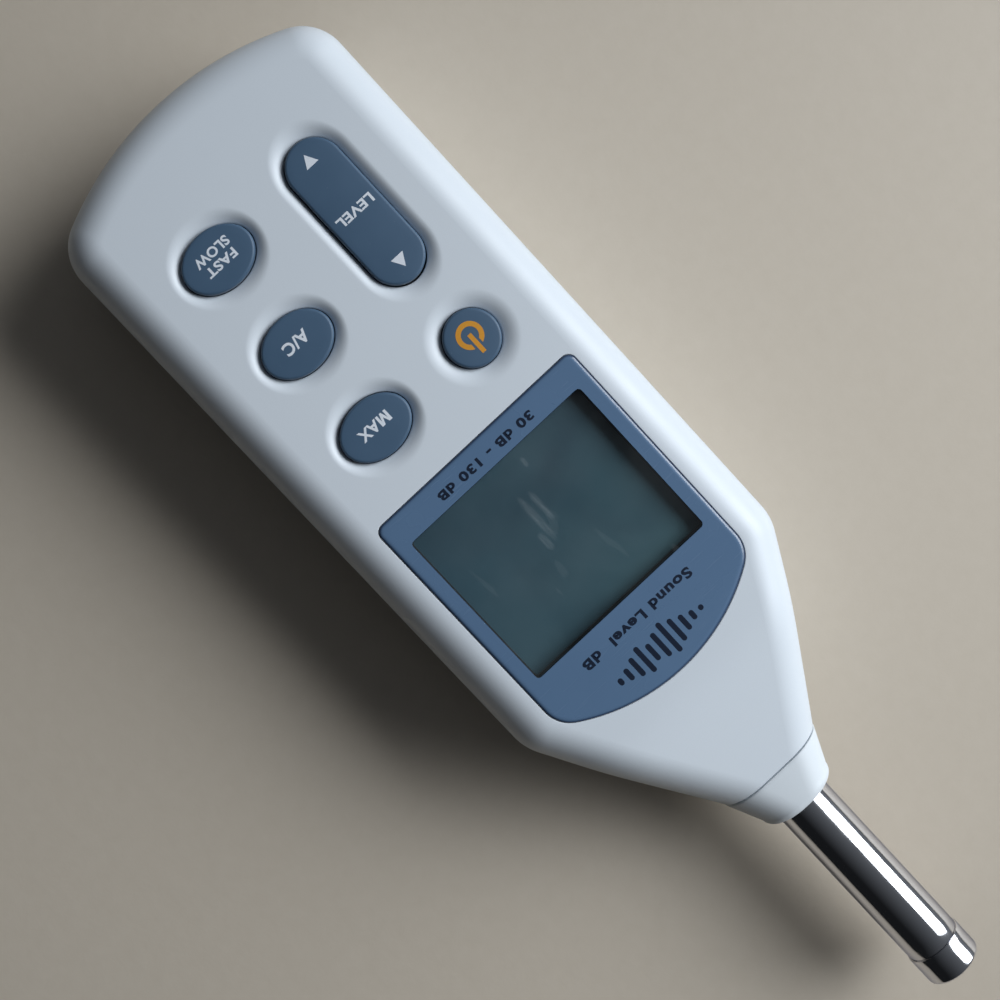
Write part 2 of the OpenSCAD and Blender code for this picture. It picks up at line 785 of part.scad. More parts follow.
// Sprung plates at both ends of the bay
module battery_plates() {
    color("silver") {
        for (s = [-1, 1]) translate([s * cell_pitch, bay_low + plate_t / 2, cell_z])
            cube([2 * cell_pitch - 2.5, plate_t, 9], center = true);
        translate([0, bay_high - plate_t / 2, cell_z]) cube([2 * cell_pitch - 2.5, plate_t, 9], center = true);
        for (s = [-1.5, 1.5]) translate([s * cell_pitch, bay_high - plate_t / 2, cell_z])
            cube([cell_pitch - 3, plate_t, 9], center = true);
    }
}

module battery_wires() {
    color("red") for (s = [-1, 1])
        wire(bezier([
            [s * 20, -7.4, 15], [s * 20, -2, 15],
            [s * 18, 4, 16], [s * 18, 8, board_z - 0.7]], 8), 0.6, [1, 0, 0]);
}

front_cover();
rear_cover();
display_panel();
window_pane();
lcd_gasket();
lcd_frame();
lcd_glass();
lcd_backlight();
zebra_strips();
main_board();
microcontroller();
board_parts();
board_screws();
keypad_sheet();
rocker_pivot();
power_key();
power_contact();
max_key();
max_contact();
weighting_key();
weighting_contact();
response_key();
response_contact();
level_key();
level_contacts();
nose_collar();
tube_seal();
tube_nut();
mic_tube();
mic_cap();
mic_grid();
mic_capsule();
capsule_ring();
preamp_board();
mic_cable();
batteries();
battery_springs();
battery_plates();
battery_wires();
battery_door();
tripod_insert();
case_screws();
output_jack();
dc_jack();
cal_trimmer();
cal_rotor();
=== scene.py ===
import math

import bmesh
import bpy
from mathutils import Matrix, Vector
from mathutils.geometry import delaunay_2d_cdt


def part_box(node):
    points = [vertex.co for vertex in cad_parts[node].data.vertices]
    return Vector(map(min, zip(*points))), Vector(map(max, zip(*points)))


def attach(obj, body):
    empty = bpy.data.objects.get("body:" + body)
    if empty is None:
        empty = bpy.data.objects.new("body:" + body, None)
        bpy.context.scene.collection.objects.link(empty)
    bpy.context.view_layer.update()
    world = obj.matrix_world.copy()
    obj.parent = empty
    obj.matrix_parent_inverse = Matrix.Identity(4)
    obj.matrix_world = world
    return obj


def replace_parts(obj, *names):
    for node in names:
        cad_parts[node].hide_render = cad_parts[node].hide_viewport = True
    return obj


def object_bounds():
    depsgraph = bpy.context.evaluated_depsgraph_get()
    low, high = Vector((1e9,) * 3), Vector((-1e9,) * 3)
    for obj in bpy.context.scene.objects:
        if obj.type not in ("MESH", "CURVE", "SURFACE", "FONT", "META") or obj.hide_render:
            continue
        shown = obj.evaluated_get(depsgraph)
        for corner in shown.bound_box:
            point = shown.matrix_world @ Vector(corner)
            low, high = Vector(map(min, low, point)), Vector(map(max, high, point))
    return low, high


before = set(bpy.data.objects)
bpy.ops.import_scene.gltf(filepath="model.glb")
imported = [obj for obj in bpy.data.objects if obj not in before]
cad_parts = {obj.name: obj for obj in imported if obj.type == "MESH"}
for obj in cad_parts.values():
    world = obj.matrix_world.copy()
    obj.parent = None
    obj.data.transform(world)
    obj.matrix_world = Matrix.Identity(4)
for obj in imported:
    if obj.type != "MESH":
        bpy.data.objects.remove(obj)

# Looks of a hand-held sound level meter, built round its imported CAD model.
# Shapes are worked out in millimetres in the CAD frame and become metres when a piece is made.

cad_low, cad_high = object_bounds()
MM = 0.001


def box(node):
    """Lowest and highest corner of a CAD node, in millimetres."""
    low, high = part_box(node)
    return low / MM, high / MM


def middle_and_half(node):
    """Middle and half size of a CAD node's box, in millimetres."""
    low, high = box(node)
    return (low + high) / 2, (high - low) / 2


# ---- sizes, from the CAD nodes' boxes ------------------------------------------------------

front_low, front_high = box("front_cover")
HALF_W = front_high.x
TAIL = -front_low.y
NOSE_Y = front_high.y
PARTING = front_low.z
FACE_Z = front_high.z
FACE_H = FACE_Z - PARTING
TOP = cad_high.z / MM

collar_low, collar_high = box("nose_collar")
NOSE_HALF_W = collar_high.x
NOSE_HALF_H = collar_high.z - PARTING

panel_low, panel_high = box("display_panel")
WINDOW, WINDOW_HALF = middle_and_half("window_pane")

# Housing
TAIL_R = 72
CORNER_R = 10
SHOULDER_Y = 59.5
SHOULDER_R = 12
TAPER = math.atan((HALF_W - NOSE_HALF_W) / (NOSE_Y - SHOULDER_Y))
SIDE_BULGE = 0.015  # keeps the straight sides a hair convex, so that no corners are in line
SLOPE_Y = 70  # where the face starts to fall to the nose
SLOPE_BEND = 0.35  # share of the fall that is curved
WALL = 2.2
FRONT_EDGE = 8.0  # radius of the rounded edge
REAR_EDGE = 5.5
EDGE_STEPS = 16
EDGE_HOLD = 0.12  # width of the rings that keep the face and the sides shaded flat
SEAM = 0.22  # chamfer along the parting line
BULKHEAD_Y = collar_low.y
SLEEVE_R = 7.6
SIDE_HOLES = {"output_jack": 3.1, "dc_jack": 4.1, "cal_rotor": 1.8}  # radius of each opening
BOSS_R = 3.2  # round the case screws
PAST = 1  # how far a cutter reaches outside what it cuts

# Display panel
PANEL_GAP = 0.15
PANEL_HALF_W = panel_high.x + PANEL_GAP
PANEL_BOTTOM = panel_low.y - PANEL_GAP
PANEL_TOP = panel_high.y + PANEL_GAP
PANEL_DOME = 43
PANEL_FILLET = 7
PANEL_CORNER = 2
PANEL_SEAT = panel_low.z - 0.05
PANEL_LIP = 0.2  # rounding of the recess's edge
PAD_Z = PANEL_SEAT - 0.8  # underside of the floor that carries the panel
WINDOW_CORNER = 0.9
GASKET_HOLE = box("lcd_gasket")[1].x - WINDOW_HALF.x + 0.05  # how far it is wider than the window

# Keys
FLANGE = 1.0
KEY_GAP = 0.2
ROCKER_END_GAP = 0.4
DISH_DEPTH = 1.25
DISH_FADE = 1.9
DISH_LIP = 0.1
KEY_RIM = 0.6
KEY_CROWN = 0.12
PRINT = 0.02  # thickness of printed ink

# Battery bay
DOOR_EDGE = 1.2  # width of the door's side tabs
DOOR_OVERRUN = 6  # how far the door's plain outline runs past the tail
TABS_Y = (-60, -42, -24)  # lower ends of the tabs
TAB_LENGTH = 6
CELL_LENGTH = 50.5


# ---- outlines ------------------------------------------------------------------------------


def full_turn(n):
    return [2 * math.pi * i / n for i in range(n)]


def arc(centre, r, a0, a1, n):
    """n + 1 points on an arc, angles in degrees."""
    turn = [math.radians(a0 + (a1 - a0) * i / n) for i in range(n + 1)]
    return [(centre[0] + r * math.cos(a), centre[1] + r * math.sin(a)) for a in turn]


def rounding(across, down, n):
    """n + 1 pairs of inset and drop along a rounded edge, from its side to its top."""
    turn = [math.pi / 2 * k / n for k in range(n + 1)]
    return [(across * (1 - math.cos(a)), down * (1 - math.sin(a))) for a in turn]


def mirrored(half):
    """Closes a right half outline, which starts on x = 0, with its mirror image."""
    return half + [(-x, y) for x, y in reversed(half[1:]) if x > 0.01]


def bulged(start, end, n):
    """The n points after start on a line to end, which is held a hair convex towards +X."""
    points = []
    for i in range(1, n + 1):
        u = i / n
        bulge = 4 * SIDE_BULGE * u * (1 - u)
        points.append((start[0] + (end[0] - start[0]) * u + bulge, start[1] + (end[1] - start[1]) * u))
    return points


def body_outline(d, y_end=None):
    """Housing outline inset by d, cut square at y_end."""
    y_end = NOSE_Y if y_end is None else y_end
    tail = (0, TAIL_R - TAIL)
    corner_x = HALF_W - CORNER_R
    corner_y = tail[1] - math.sqrt((TAIL_R - CORNER_R) ** 2 - corner_x**2)
    corner_a = math.degrees(math.atan2(corner_y - tail[1], corner_x))
    bend = (HALF_W - SHOULDER_R, SHOULDER_Y - SHOULDER_R * math.tan(TAPER / 2))
    shoulder = arc(bend, SHOULDER_R - d, 0, math.degrees(TAPER), 10)
    x0, y0 = shoulder[-1]
    side = bulged((HALF_W - d, corner_y), shoulder[0], 16)[:-1]
    taper = bulged((x0, y0), (x0 - (y_end - y0) * math.tan(TAPER), y_end), 26)
    half = arc(tail, TAIL_R - d, -90, corner_a, 16)
    half += arc((corner_x, corner_y), CORNER_R - d, corner_a, 0, 14)[1:]
    return mirrored(half + side + shoulder + taper)


def panel_outline(d):
    """Display panel's recess outline inset by d."""
    fillet_x = PANEL_HALF_W - PANEL_FILLET
    dome_y = PANEL_TOP - PANEL_DOME
    fillet_y = dome_y + math.sqrt((PANEL_DOME - PANEL_FILLET) ** 2 - fillet_x**2)
    fillet_a = math.degrees(math.atan2(fillet_y - dome_y, fillet_x))
    corner = (PANEL_HALF_W - PANEL_CORNER, PANEL_BOTTOM + PANEL_CORNER)
    half = [(0, PANEL_BOTTOM + d)]
    half += arc(corner, PANEL_CORNER - d, -90, 0, 10)
    half += arc((fillet_x, fillet_y), PANEL_FILLET - d, 0, fillet_a, 12)
    half += arc((0, dome_y), PANEL_DOME - d, fillet_a, 90, 22)[1:]
    return mirrored(half)


def rounded_rectangle(centre, half, r, n=6):
    """Anticlockwise rectangle with corners of radius r."""
    points = []
    for k, (sx, sy) in enumerate([(1, -1), (1, 1), (-1, 1), (-1, -1)]):
        c = (centre[0] + sx * (half[0] - r), centre[1] + sy * (half[1] - r))
        points += arc(c, r, 90 * (k - 1), 90 * k, n)
    return points


def window_outline(grow=0.0):
    half = (WINDOW_HALF.x + grow, WINDOW_HALF.y + grow)
    return rounded_rectangle(WINDOW, half, WINDOW_CORNER + max(grow, -0.4))


class Key:
    """Plan of a key, from the CAD node: an ellipse, parted along y when it is longer than wide."""

    def __init__(self, node, body, dish, gap=(KEY_GAP, KEY_GAP)):
        middle, half = middle_and_half(node)
        self.node = node
        self.body = body
        self.centre = (middle.x, middle.y)
        self.low = box(node)[0].z
        self.half_x = half.x - FLANGE
        self.is_rocker = half.y > 2 * self.half_x
        self.half_y = self.half_x if self.is_rocker else half.y - FLANGE
        self.part = half.y - self.half_x if self.is_rocker else 0
        self.dish = dish  # width of the dish beside the key and at its ends, as gap is
        self.gap = gap

    def outline(self, gx, gy=None, n=20):
        gy = gx if gy is None else gy
        a, b = self.half_x + gx, self.half_y + gy
        turn = [math.radians(-90 + 90 * i / n) for i in range(n + 1)]
        half = [(a * math.cos(t), b * math.sin(t) - self.part) for t in turn]
        turn = [math.radians(90 * i / n) for i in range(0 if self.part else 1, n + 1)]
        half += [(a * math.cos(t), b * math.sin(t) + self.part) for t in turn]
        return [(self.centre[0] + x, self.centre[1] + y) for x, y in mirrored(half)]

    def crown(self, x, y):
        """Height of the key's gently domed top."""
        u = (x - self.centre[0]) / self.half_x
        v = (abs(y - self.centre[1]) - self.part) / self.half_y
        return TOP - PRINT - KEY_CROWN * (u * u + max(v, 0) ** 2)


POWER = Key("power_key", "power_button", (3.9, 3.9))
MAXIMUM = Key("max_key", "max_button", (2.6, 3.6))
WEIGHTING = Key("weighting_key", "weighting_button", (2.6, 3.6))
RESPONSE = Key("response_key", "response_button", (2.6, 3.6))
LEVEL = Key("level_key", "level_rocker", (2.7, 4.1), (KEY_GAP, ROCKER_END_GAP))
KEYS = (POWER, MAXIMUM, WEIGHTING, RESPONSE, LEVEL)


def fall(y):
    """Share of the fall from the flat face to the nose."""
    u = max(0, (y - SLOPE_Y) / (NOSE_Y - SLOPE_Y))
    if u < SLOPE_BEND:
        return u * u / (SLOPE_BEND * (2 - SLOPE_BEND))
    return (2 * u - SLOPE_BEND) / (2 - SLOPE_BEND)


def face_height(y, face_h):
    return face_h - (face_h - NOSE_HALF_H) * fall(y)


# ---- mesh building -------------------------------------------------------------------------


def holds(loop, x, y):
    """True if a closed loop of points surrounds (x, y)."""
    hit = False
    for (x0, y0), (x1, y1) in zip(loop, loop[1:] + loop[:1]):
        if (y0 > y) != (y1 > y) and x < x0 + (y - y0) * (x1 - x0) / (y1 - y0):
            hit = not hit
    return hit


class Mesh:
    """Points in millimetres and faces, from rings of equal length joined by bands."""

    def __init__(self):
        self.points = []
        self.faces = []

    def ring(self, points):
        start = len(self.points)
        self.points += [tuple(p) for p in points]
        return list(range(start, len(self.points)))

    def flat_ring(self, outline, z):
        return self.ring([(x, y, z) for x, y in outline])

    def band(self, a, b):
        n = len(a)
        for i in range(n):
            j = (i + 1) % n
            self.faces.append((a[i], a[j], b[j], b[i]))

    def skin(self, rings, loop=False):
        for a, b in zip(rings, rings[1:]):
            self.band(a, b)
        if loop:
            self.band(rings[-1], rings[0])

    def fill(self, loops, cross=()):
        """Triangles between an outer ring and the rings inside it; cross holds edges to keep."""
        ids = [i for loop in loops for i in loop]
        place = {i: k for k, i in enumerate(ids)}
        flat = [Vector(self.points[i][:2]) for i in ids]
        edges = [(place[a], place[b]) for loop in loops for a, b in zip(loop, loop[1:] + loop[:1])]
        edges += [(place[a], place[b]) for a, b in cross]
        verts, _, triangles, origins, _, _ = delaunay_2d_cdt(flat, edges, [], 0, 1e-6)
        outlines = [[self.points[i][:2] for i in loop] for loop in loops]
        for t in triangles:
            centre = sum((verts[v] for v in t), Vector((0, 0))) / 3
            if sum(holds(o, *centre) for o in outlines) == 1:
                self.faces.append(tuple(ids[origins[v][0]] for v in t))

    def cap(self, ring):
        """Closes a ring of any plane with triangles to its middle point."""
        n = len(ring)
        centre = [sum(self.points[i][k] for i in ring) / n for k in range(3)]
        middle = self.ring([centre])[0]
        for i in range(n):
            self.faces.append((ring[i], ring[(i + 1) % n], middle))

    def stack(self, rings):
        """Solid through level rings, from bottom to top."""
        self.skin(rings)
        self.fill([rings[0]])
        self.fill([rings[-1]])

    def surround(self, outer, inner):
        """Solid with an opening: outer level rings go up, the opening's inner rings come down."""
        self.skin(outer)
        self.skin(inner)
        self.fill([outer[-1], inner[0]])
        self.fill([outer[0], inner[-1]])

    def add(self, other):
        """Takes in another mesh as a separate solid."""
        start = len(self.points)
        self.points += other.points
        self.faces += [tuple(i + start for i in f) for f in other.faces]
        return self

    def moved(self, change):
        self.points = [tuple(change(*p)) for p in self.points]
        return self


def piece(name, mesh, material=None, smooth=32.0):
    """Makes an object of a Mesh, closed, outward facing and smooth below the given angle."""
    data = bpy.data.meshes.new(name)
    data.from_pydata([[c * MM for c in p] for p in mesh.points], [], mesh.faces)
    obj = bpy.data.objects.new(name, data)
    bpy.context.scene.collection.objects.link(obj)
    tidy(obj, smooth)
    if material:
        data.materials.append(material)
    return obj


def tidy(obj, smooth=32.0):
    """Merges doubled points, faces everything outward and marks the sharp edges."""
    work = bmesh.new()
    work.from_mesh(obj.data)
    bmesh.ops.remove_doubles(work, verts=work.verts, dist=1e-7)
    bmesh.ops.dissolve_degenerate(work, dist=1e-8, edges=work.edges)
    bmesh.ops.recalc_face_normals(work, faces=work.faces)
    work.to_mesh(obj.data)
    work.free()
    obj.data.shade_smooth()
    obj.data.set_sharp_from_angle(angle=math.radians(smooth))


def evaluated_mesh(obj):
    bpy.context.view_layer.update()
    return bpy.data.meshes.new_from_object(obj.evaluated_get(bpy.context.evaluated_depsgraph_get()))


def carve(obj, tool, operation="DIFFERENCE"):
    """Cuts a Mesh out of obj, or joins or intersects it, and keeps obj's materials."""
    cutter = piece("cutter", tool)
    step = obj.modifiers.new("carve", "BOOLEAN")
    step.object = cutter
    step.operation = operation
    step.solver = "MANIFOLD"
    result = evaluated_mesh(obj)
    obj.modifiers.clear()
    if not result.polygons:
        raise RuntimeError(f"carving {obj.name} left nothing")
    old, waste = obj.data, cutter.data
    obj.data = result
    bpy.data.objects.remove(cutter)
    bpy.data.meshes.remove(old)
    bpy.data.meshes.remove(waste)
    tidy(obj)


def join(obj, other):
    """Joins a finished object into obj with a Boolean and removes it."""
    m = Mesh()
    m.points = [tuple(c / MM for c in v.co) for v in other.data.vertices]
    m.faces = [tuple(f.vertices) for f in other.data.polygons]
    bpy.data.objects.remove(other)
    carve(obj, m, "UNION")


def stand_in(obj, node, body="housing"):
    """Rides a piece on a body in a CAD node's stead."""
    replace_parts(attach(obj, body), node)


def prism(outline, z0, z1):
    m = Mesh()
    m.stack([m.flat_ring(outline, z0), m.flat_ring(outline, z1)])
    return m


def block(low, high):
    corners = [(low[0], low[1]), (high[0], low[1]), (high[0], high[1]), (low[0], high[1])]
    return prism(corners, low[2], high[2])


def lathe(profile, steps=96, closed=True):
    """Turned solid about +Y through the nose axis; profile holds (r, y) and may touch r = 0."""
    m = Mesh()
    rings = []
    for r, y in profile:
        rings.append(m.ring([(r * math.sin(a), y, PARTING + r * math.cos(a)) for a in full_turn(steps)]))
    m.skin(rings, loop=closed)
    return m


def swung(m, origin, axis):
    """Moves a lathe from the nose axis so that it turns about origin along x, y, -y or z."""
    ox, oy, oz = origin
    turns = {
        "x": lambda x, y, z: (ox + y, oy + x, oz + z - PARTING),
        "y": lambda x, y, z: (ox + x, oy + y, oz + z - PARTING),
        "-y": lambda x, y, z: (ox + x, oy - y, oz + z - PARTING),
        "z": lambda x, y, z: (ox + x, oy + z - PARTING, oz + y),
    }
    return m.moved(turns[axis])


def rod(origin, axis, r, length, steps=48):
    return swung(lathe([(0, 0), (r, 0), (r, length), (0, length)], steps, closed=False), origin, axis)


def wire(path, r, sides=12):
    """Round wire along a path of points."""
    m = Mesh()
    path = [Vector(p) for p in path]
    rings = []
    side = None
    for i, p in enumerate(path):
        along = (path[min(i + 1, len(path) - 1)] - path[max(i - 1, 0)]).normalized()
        if side is None:
            side = along.orthogonal().normalized()
        side = (side - along * side.dot(along)).normalized()
        other = along.cross(side)
        rings.append(m.ring([p + r * (math.cos(a) * side + math.sin(a) * other) for a in full_turn(sides)]))
    m.skin(rings)
    m.cap(rings[0])
    m.cap(rings[-1])
    return m


def bezier(p, n):
    p = [Vector(q) for q in p]
    shares = [i / n for i in range(n + 1)]
    return [(1 - u) ** 3 * p[0] + 3 * (1 - u) ** 2 * u * p[1] + 3 * (1 - u) * u * u * p[2] + u**3 * p[3]
            for u in shares]


# ---- housing -------------------------------------------------------------------------------


def half_body(m, face_h, edge, inset=0.0, y_end=None, below=0.0, seam=0.0):
    """Rings of one housing half above the parting plane, up to the flat of its face."""

    def ring(shrink, drop):
        outline = body_outline(inset + shrink, y_end)
        return m.ring([(x, y, face_height(y, face_h - inset) - drop) for x, y in outline])

    rings = [m.flat_ring(body_outline(inset + seam, y_end), -below)]
    if seam:
        rings.append(m.flat_ring(body_outline(inset, y_end), seam))
    rings.append(ring(0, edge + EDGE_HOLD))
    rings += [ring(shrink, drop) for shrink, drop in rounding(edge, edge, EDGE_STEPS)]
    rings.append(ring(edge + EDGE_HOLD, 0))
    m.skin(rings)
    m.fill([rings[0]])
    return rings[-1]


def neck_lines(m, ring):
    """Edges straight across the neck, so that the falling face keeps its true section."""
    n = len(ring)
    return [(ring[i], ring[n - i]) for i in range(1, n // 2) if m.points[ring[i]][1] > SLOPE_Y - 1]


def half_solid(face_h, edge, **options):
    m = Mesh()
    last = half_body(m, face_h, edge, **options)
    m.fill([last], neck_lines(m, last))
    return m


def cavity(face_h, edge):
    return half_solid(face_h, edge - WALL, inset=WALL, y_end=BULKHEAD_Y, below=PAST)


def raised(m):
    return m.moved(lambda x, y, z: (x, y, PARTING + z))


def lowered(m):
    return m.moved(lambda x, y, z: (x, y, PARTING - z))


def rear_solid():
    return lowered(half_solid(PARTING, REAR_EDGE, seam=SEAM))


def key_pocket(m, key):
    """Dish and hole of one key, steep by the key and fading outwards; returns the ring on the face."""
    margin, steps, hole_step, through = 0.3, 16, 0.16, 0.6
    rings = [m.flat_ring(key.outline(key.dish[0] + margin, key.dish[1] + margin), FACE_H)]
    for k in range(steps + 1):
        u = k / steps
        grow = [dish - (dish - gap - DISH_LIP) * u for gap, dish in zip(key.gap, key.dish)]
        rings.append(m.flat_ring(key.outline(*grow), FACE_H - DISH_DEPTH * u**DISH_FADE))
    for z in (FACE_H - DISH_DEPTH - hole_step, FACE_H - WALL - through):
        rings.append(m.flat_ring(key.outline(*key.gap), z))
    m.skin(rings)
    m.fill([rings[-1]])
    return rings[0]


def panel_pocket(m):
    """Recess of the display panel with the gasket's hole in its floor; returns the ring on the face."""
    seat = PANEL_SEAT - PARTING
    through = 0.5
    rings = [m.flat_ring(panel_outline(-PANEL_LIP - 0.1), FACE_H)]
    for drop, grow in rounding(PANEL_LIP, PANEL_LIP, 4):
        rings.append(m.flat_ring(panel_outline(-grow), FACE_H - drop))
    rings.append(m.flat_ring(panel_outline(0), seat))
    m.skin(rings)
    hole = [m.flat_ring(window_outline(GASKET_HOLE), z) for z in (seat, PAD_Z - PARTING - through)]
    m.skin(hole)
    m.fill([rings[-1], hole[0]])
    m.fill([hole[-1]])
    return rings[0]


def side_cutter(node, r):
    """Round hole with a soft rim through the left wall, on a socket's axis."""
    middle, _ = middle_and_half(node)
    reach = WALL + 2
    profile = [(0, 0), (r + 1.35, 0), (r + 0.35, 1), (r + 0.1, 1.12), (r, 1.4), (r, reach), (0, reach)]
    return swung(lathe(profile, 64, closed=False), (-HALF_W - PAST, middle.y, middle.z), "x")


def rear_hole(x, y, r, depth):
    """Blind hole up into the rear face with a soft rim."""
    profile = [(0, 0), (r + 1.3, 0), (r + 0.3, 1), (r, 1.3), (r, depth + PAST), (0, depth + PAST)]
    return swung(lathe(profile, 64, closed=False), (x, y, -PAST), "z")


def cut_shared_openings(shell):
    """Openings that both housing halves share half of: the nose's sleeve and the side sockets."""
    carve(shell, rod((0, BULKHEAD_Y - PAST, PARTING), "y", SLEEVE_R, NOSE_Y - BULKHEAD_Y + 2 * PAST, 96))
    for node, r in SIDE_HOLES.items():
        carve(shell, side_cutter(node, r))


def board_posts():
    """Centres of the four board posts, one at each corner of the row of board screws."""
    low, high = box("board_screws")
    r = 2
    return [(x, y) for x in (low.x + r, high.x - r) for y in (low.y + r, high.y - r)]


def screw_places():
    """Centres of the four case screws: the pair by the nose sits closer together than the tail pair."""
    low, high = box("case_screws")
    r = 2.5
    nose_x = 15.5
    return [(s * x, y) for s in (-1, 1) for x, y in ((nose_x, high.y - r), (high.x - r, low.y + r))]


def front_shell():
    m = Mesh()
    last = half_body(m, FACE_H, FRONT_EDGE, seam=SEAM)
    holes = [key_pocket(m, key) for key in KEYS] + [panel_pocket(m)]
    m.fill([last] + holes, neck_lines(m, last))
    shell = piece("front_shell", raised(m), ABS)
    carve(shell, raised(cavity(FACE_H, FRONT_EDGE)))
    pad = Mesh()
    margin, bite = 1.2, 0.4
    heights = (PAD_Z, PANEL_SEAT - bite)
    pad.surround([pad.flat_ring(panel_outline(-margin), z) for z in heights],
                 [pad.flat_ring(window_outline(GASKET_HOLE), z) for z in reversed(heights)])
    carve(shell, pad, "UNION")
    board_top = box("main_board")[1].z
    post_low = board_top + 0.02
    post_r, post_bore, bore_depth = 2.6, 1.05, 7
    for x, y in board_posts():
        carve(shell, rod((x, y, post_low), "z", post_r, FACE_Z - WALL - board_top + 0.2), "UNION")
        carve(shell, rod((x, y, board_top - PAST), "z", post_bore, bore_depth))
    boss_height, boss_bore, bore_depth = 14, 1.45, 10
    for x, y in screw_places():
        carve(shell, rod((x, y, PARTING), "z", BOSS_R, boss_height), "UNION")
        carve(shell, rod((x, y, PARTING - PAST), "z", boss_bore, bore_depth))
    cut_shared_openings(shell)
    stand_in(shell, "front_cover")


def rear_shell():
    """Rear half with the walled battery bay, the door's seat and tab notches, bosses and holes."""
    door_high = box("battery_door")[1]
    cells_low, cells_high = box("batteries")
    bay_x = door_high.x - 1
    bay_low, bay_high = cells_low.y - 0.4, cells_high.y + 0.4
    seat = door_high.z + 0.1
    shell = piece("rear_shell", rear_solid(), ABS)
    carve(shell, lowered(cavity(PARTING, REAR_EDGE)))

    wall, end_wall, bay_end, bay_top = 2.3, 1.6, -8, PARTING + 1.3
    carve(shell, block((-bay_x - wall, bay_low - end_wall, 1), (bay_x + wall, bay_end, bay_top)), "UNION")
    floor = piece("floor_part", rear_solid())
    carve(floor, block((-HALF_W, -TAIL, 1.02), (HALF_W, bay_low - 1, seat + WALL)), "INTERSECT")
    join(shell, floor)
    for x, y in screw_places():
        carve(shell, rod((x, y, 2.01), "z", BOSS_R, PARTING - 2.03), "UNION")
    insert_boss_r, insert_boss_height = 6.8, 8.5
    carve(shell, rod((0, 0, 1.01), "z", insert_boss_r, insert_boss_height), "UNION")
    carve(shell, block((-bay_x, bay_low, 1), (bay_x, bay_high, PARTING + 0.1)))

    seat_low, seat_high = -TAIL - DOOR_OVERRUN, door_high.y + 0.2
    outline = rounded_rectangle((0, (seat_low + seat_high) / 2), (bay_x, (seat_high - seat_low) / 2), 1.2)
    carve(shell, prism(outline, -PAST, seat))
    notch_x, travel, lead = bay_x + 1.15, 8.2, 1.8
    for y in TABS_Y:
        carve(shell, block((-notch_x, y - travel, 0.9), (notch_x, y + TAB_LENGTH + 0.2, seat)))
        carve(shell, block((-notch_x, y - travel, -PAST), (notch_x, y - lead, seat)))
    shank_r, head_r, head_depth = 1.5, 2.8, 7
    for x, y in screw_places():
        carve(shell, rod((x, y, -PAST), "z", shank_r, 30))
        carve(shell, rear_hole(x, y, head_r, head_depth))
    carve(shell, rear_hole(0, 0, box("tripod_insert")[1].x, 8))
    cut_shared_openings(shell)
    stand_in(shell, "rear_cover")


def battery_door():
    """Sliding door cut from the rear half's own form, with side tabs, finger ribs and an arrow."""
    high = box("battery_door")[1]
    side_x = high.x - DOOR_EDGE
    low_y = -TAIL - DOOR_OVERRUN
    outline = rounded_rectangle((0, (high.y + low_y) / 2), (side_x, (high.y - low_y) / 2), 1.0)
    door = piece("battery_door_panel", rear_solid(), ABS)
    carve(door, prism(outline, -PAST, high.z), "INTERSECT")
    for s in (-1, 1):
        near, far = sorted((s * (side_x - 1), s * high.x))
        for y in TABS_Y:
            carve(door, block((near, y, 1), (far, y + TAB_LENGTH, high.z - 0.01)), "UNION")
    ribs_y, pitch, half_length, half_width = -TAIL + 9.6, 2.4, 10, 0.6
    for i in range(5):
        groove = rounded_rectangle((0, ribs_y + pitch * i), (half_length, half_width), 0.55)
        carve(door, prism(groove, -PAST, 0.5))
    tip, head, end = (-TAIL + 24 + rise for rise in (0, 5, 10))
    head_x, shaft_x = 4, 1.6
    arrow = [(0, tip), (head_x, head), (shaft_x, head), (shaft_x, end), (-shaft_x, end), (-shaft_x, head),
             (-head_x, head)]
    carve(door, prism(arrow, -PAST, 0.35))
    stand_in(door, "battery_door", "door")


# ---- materials -----------------------------------------------------------------------------


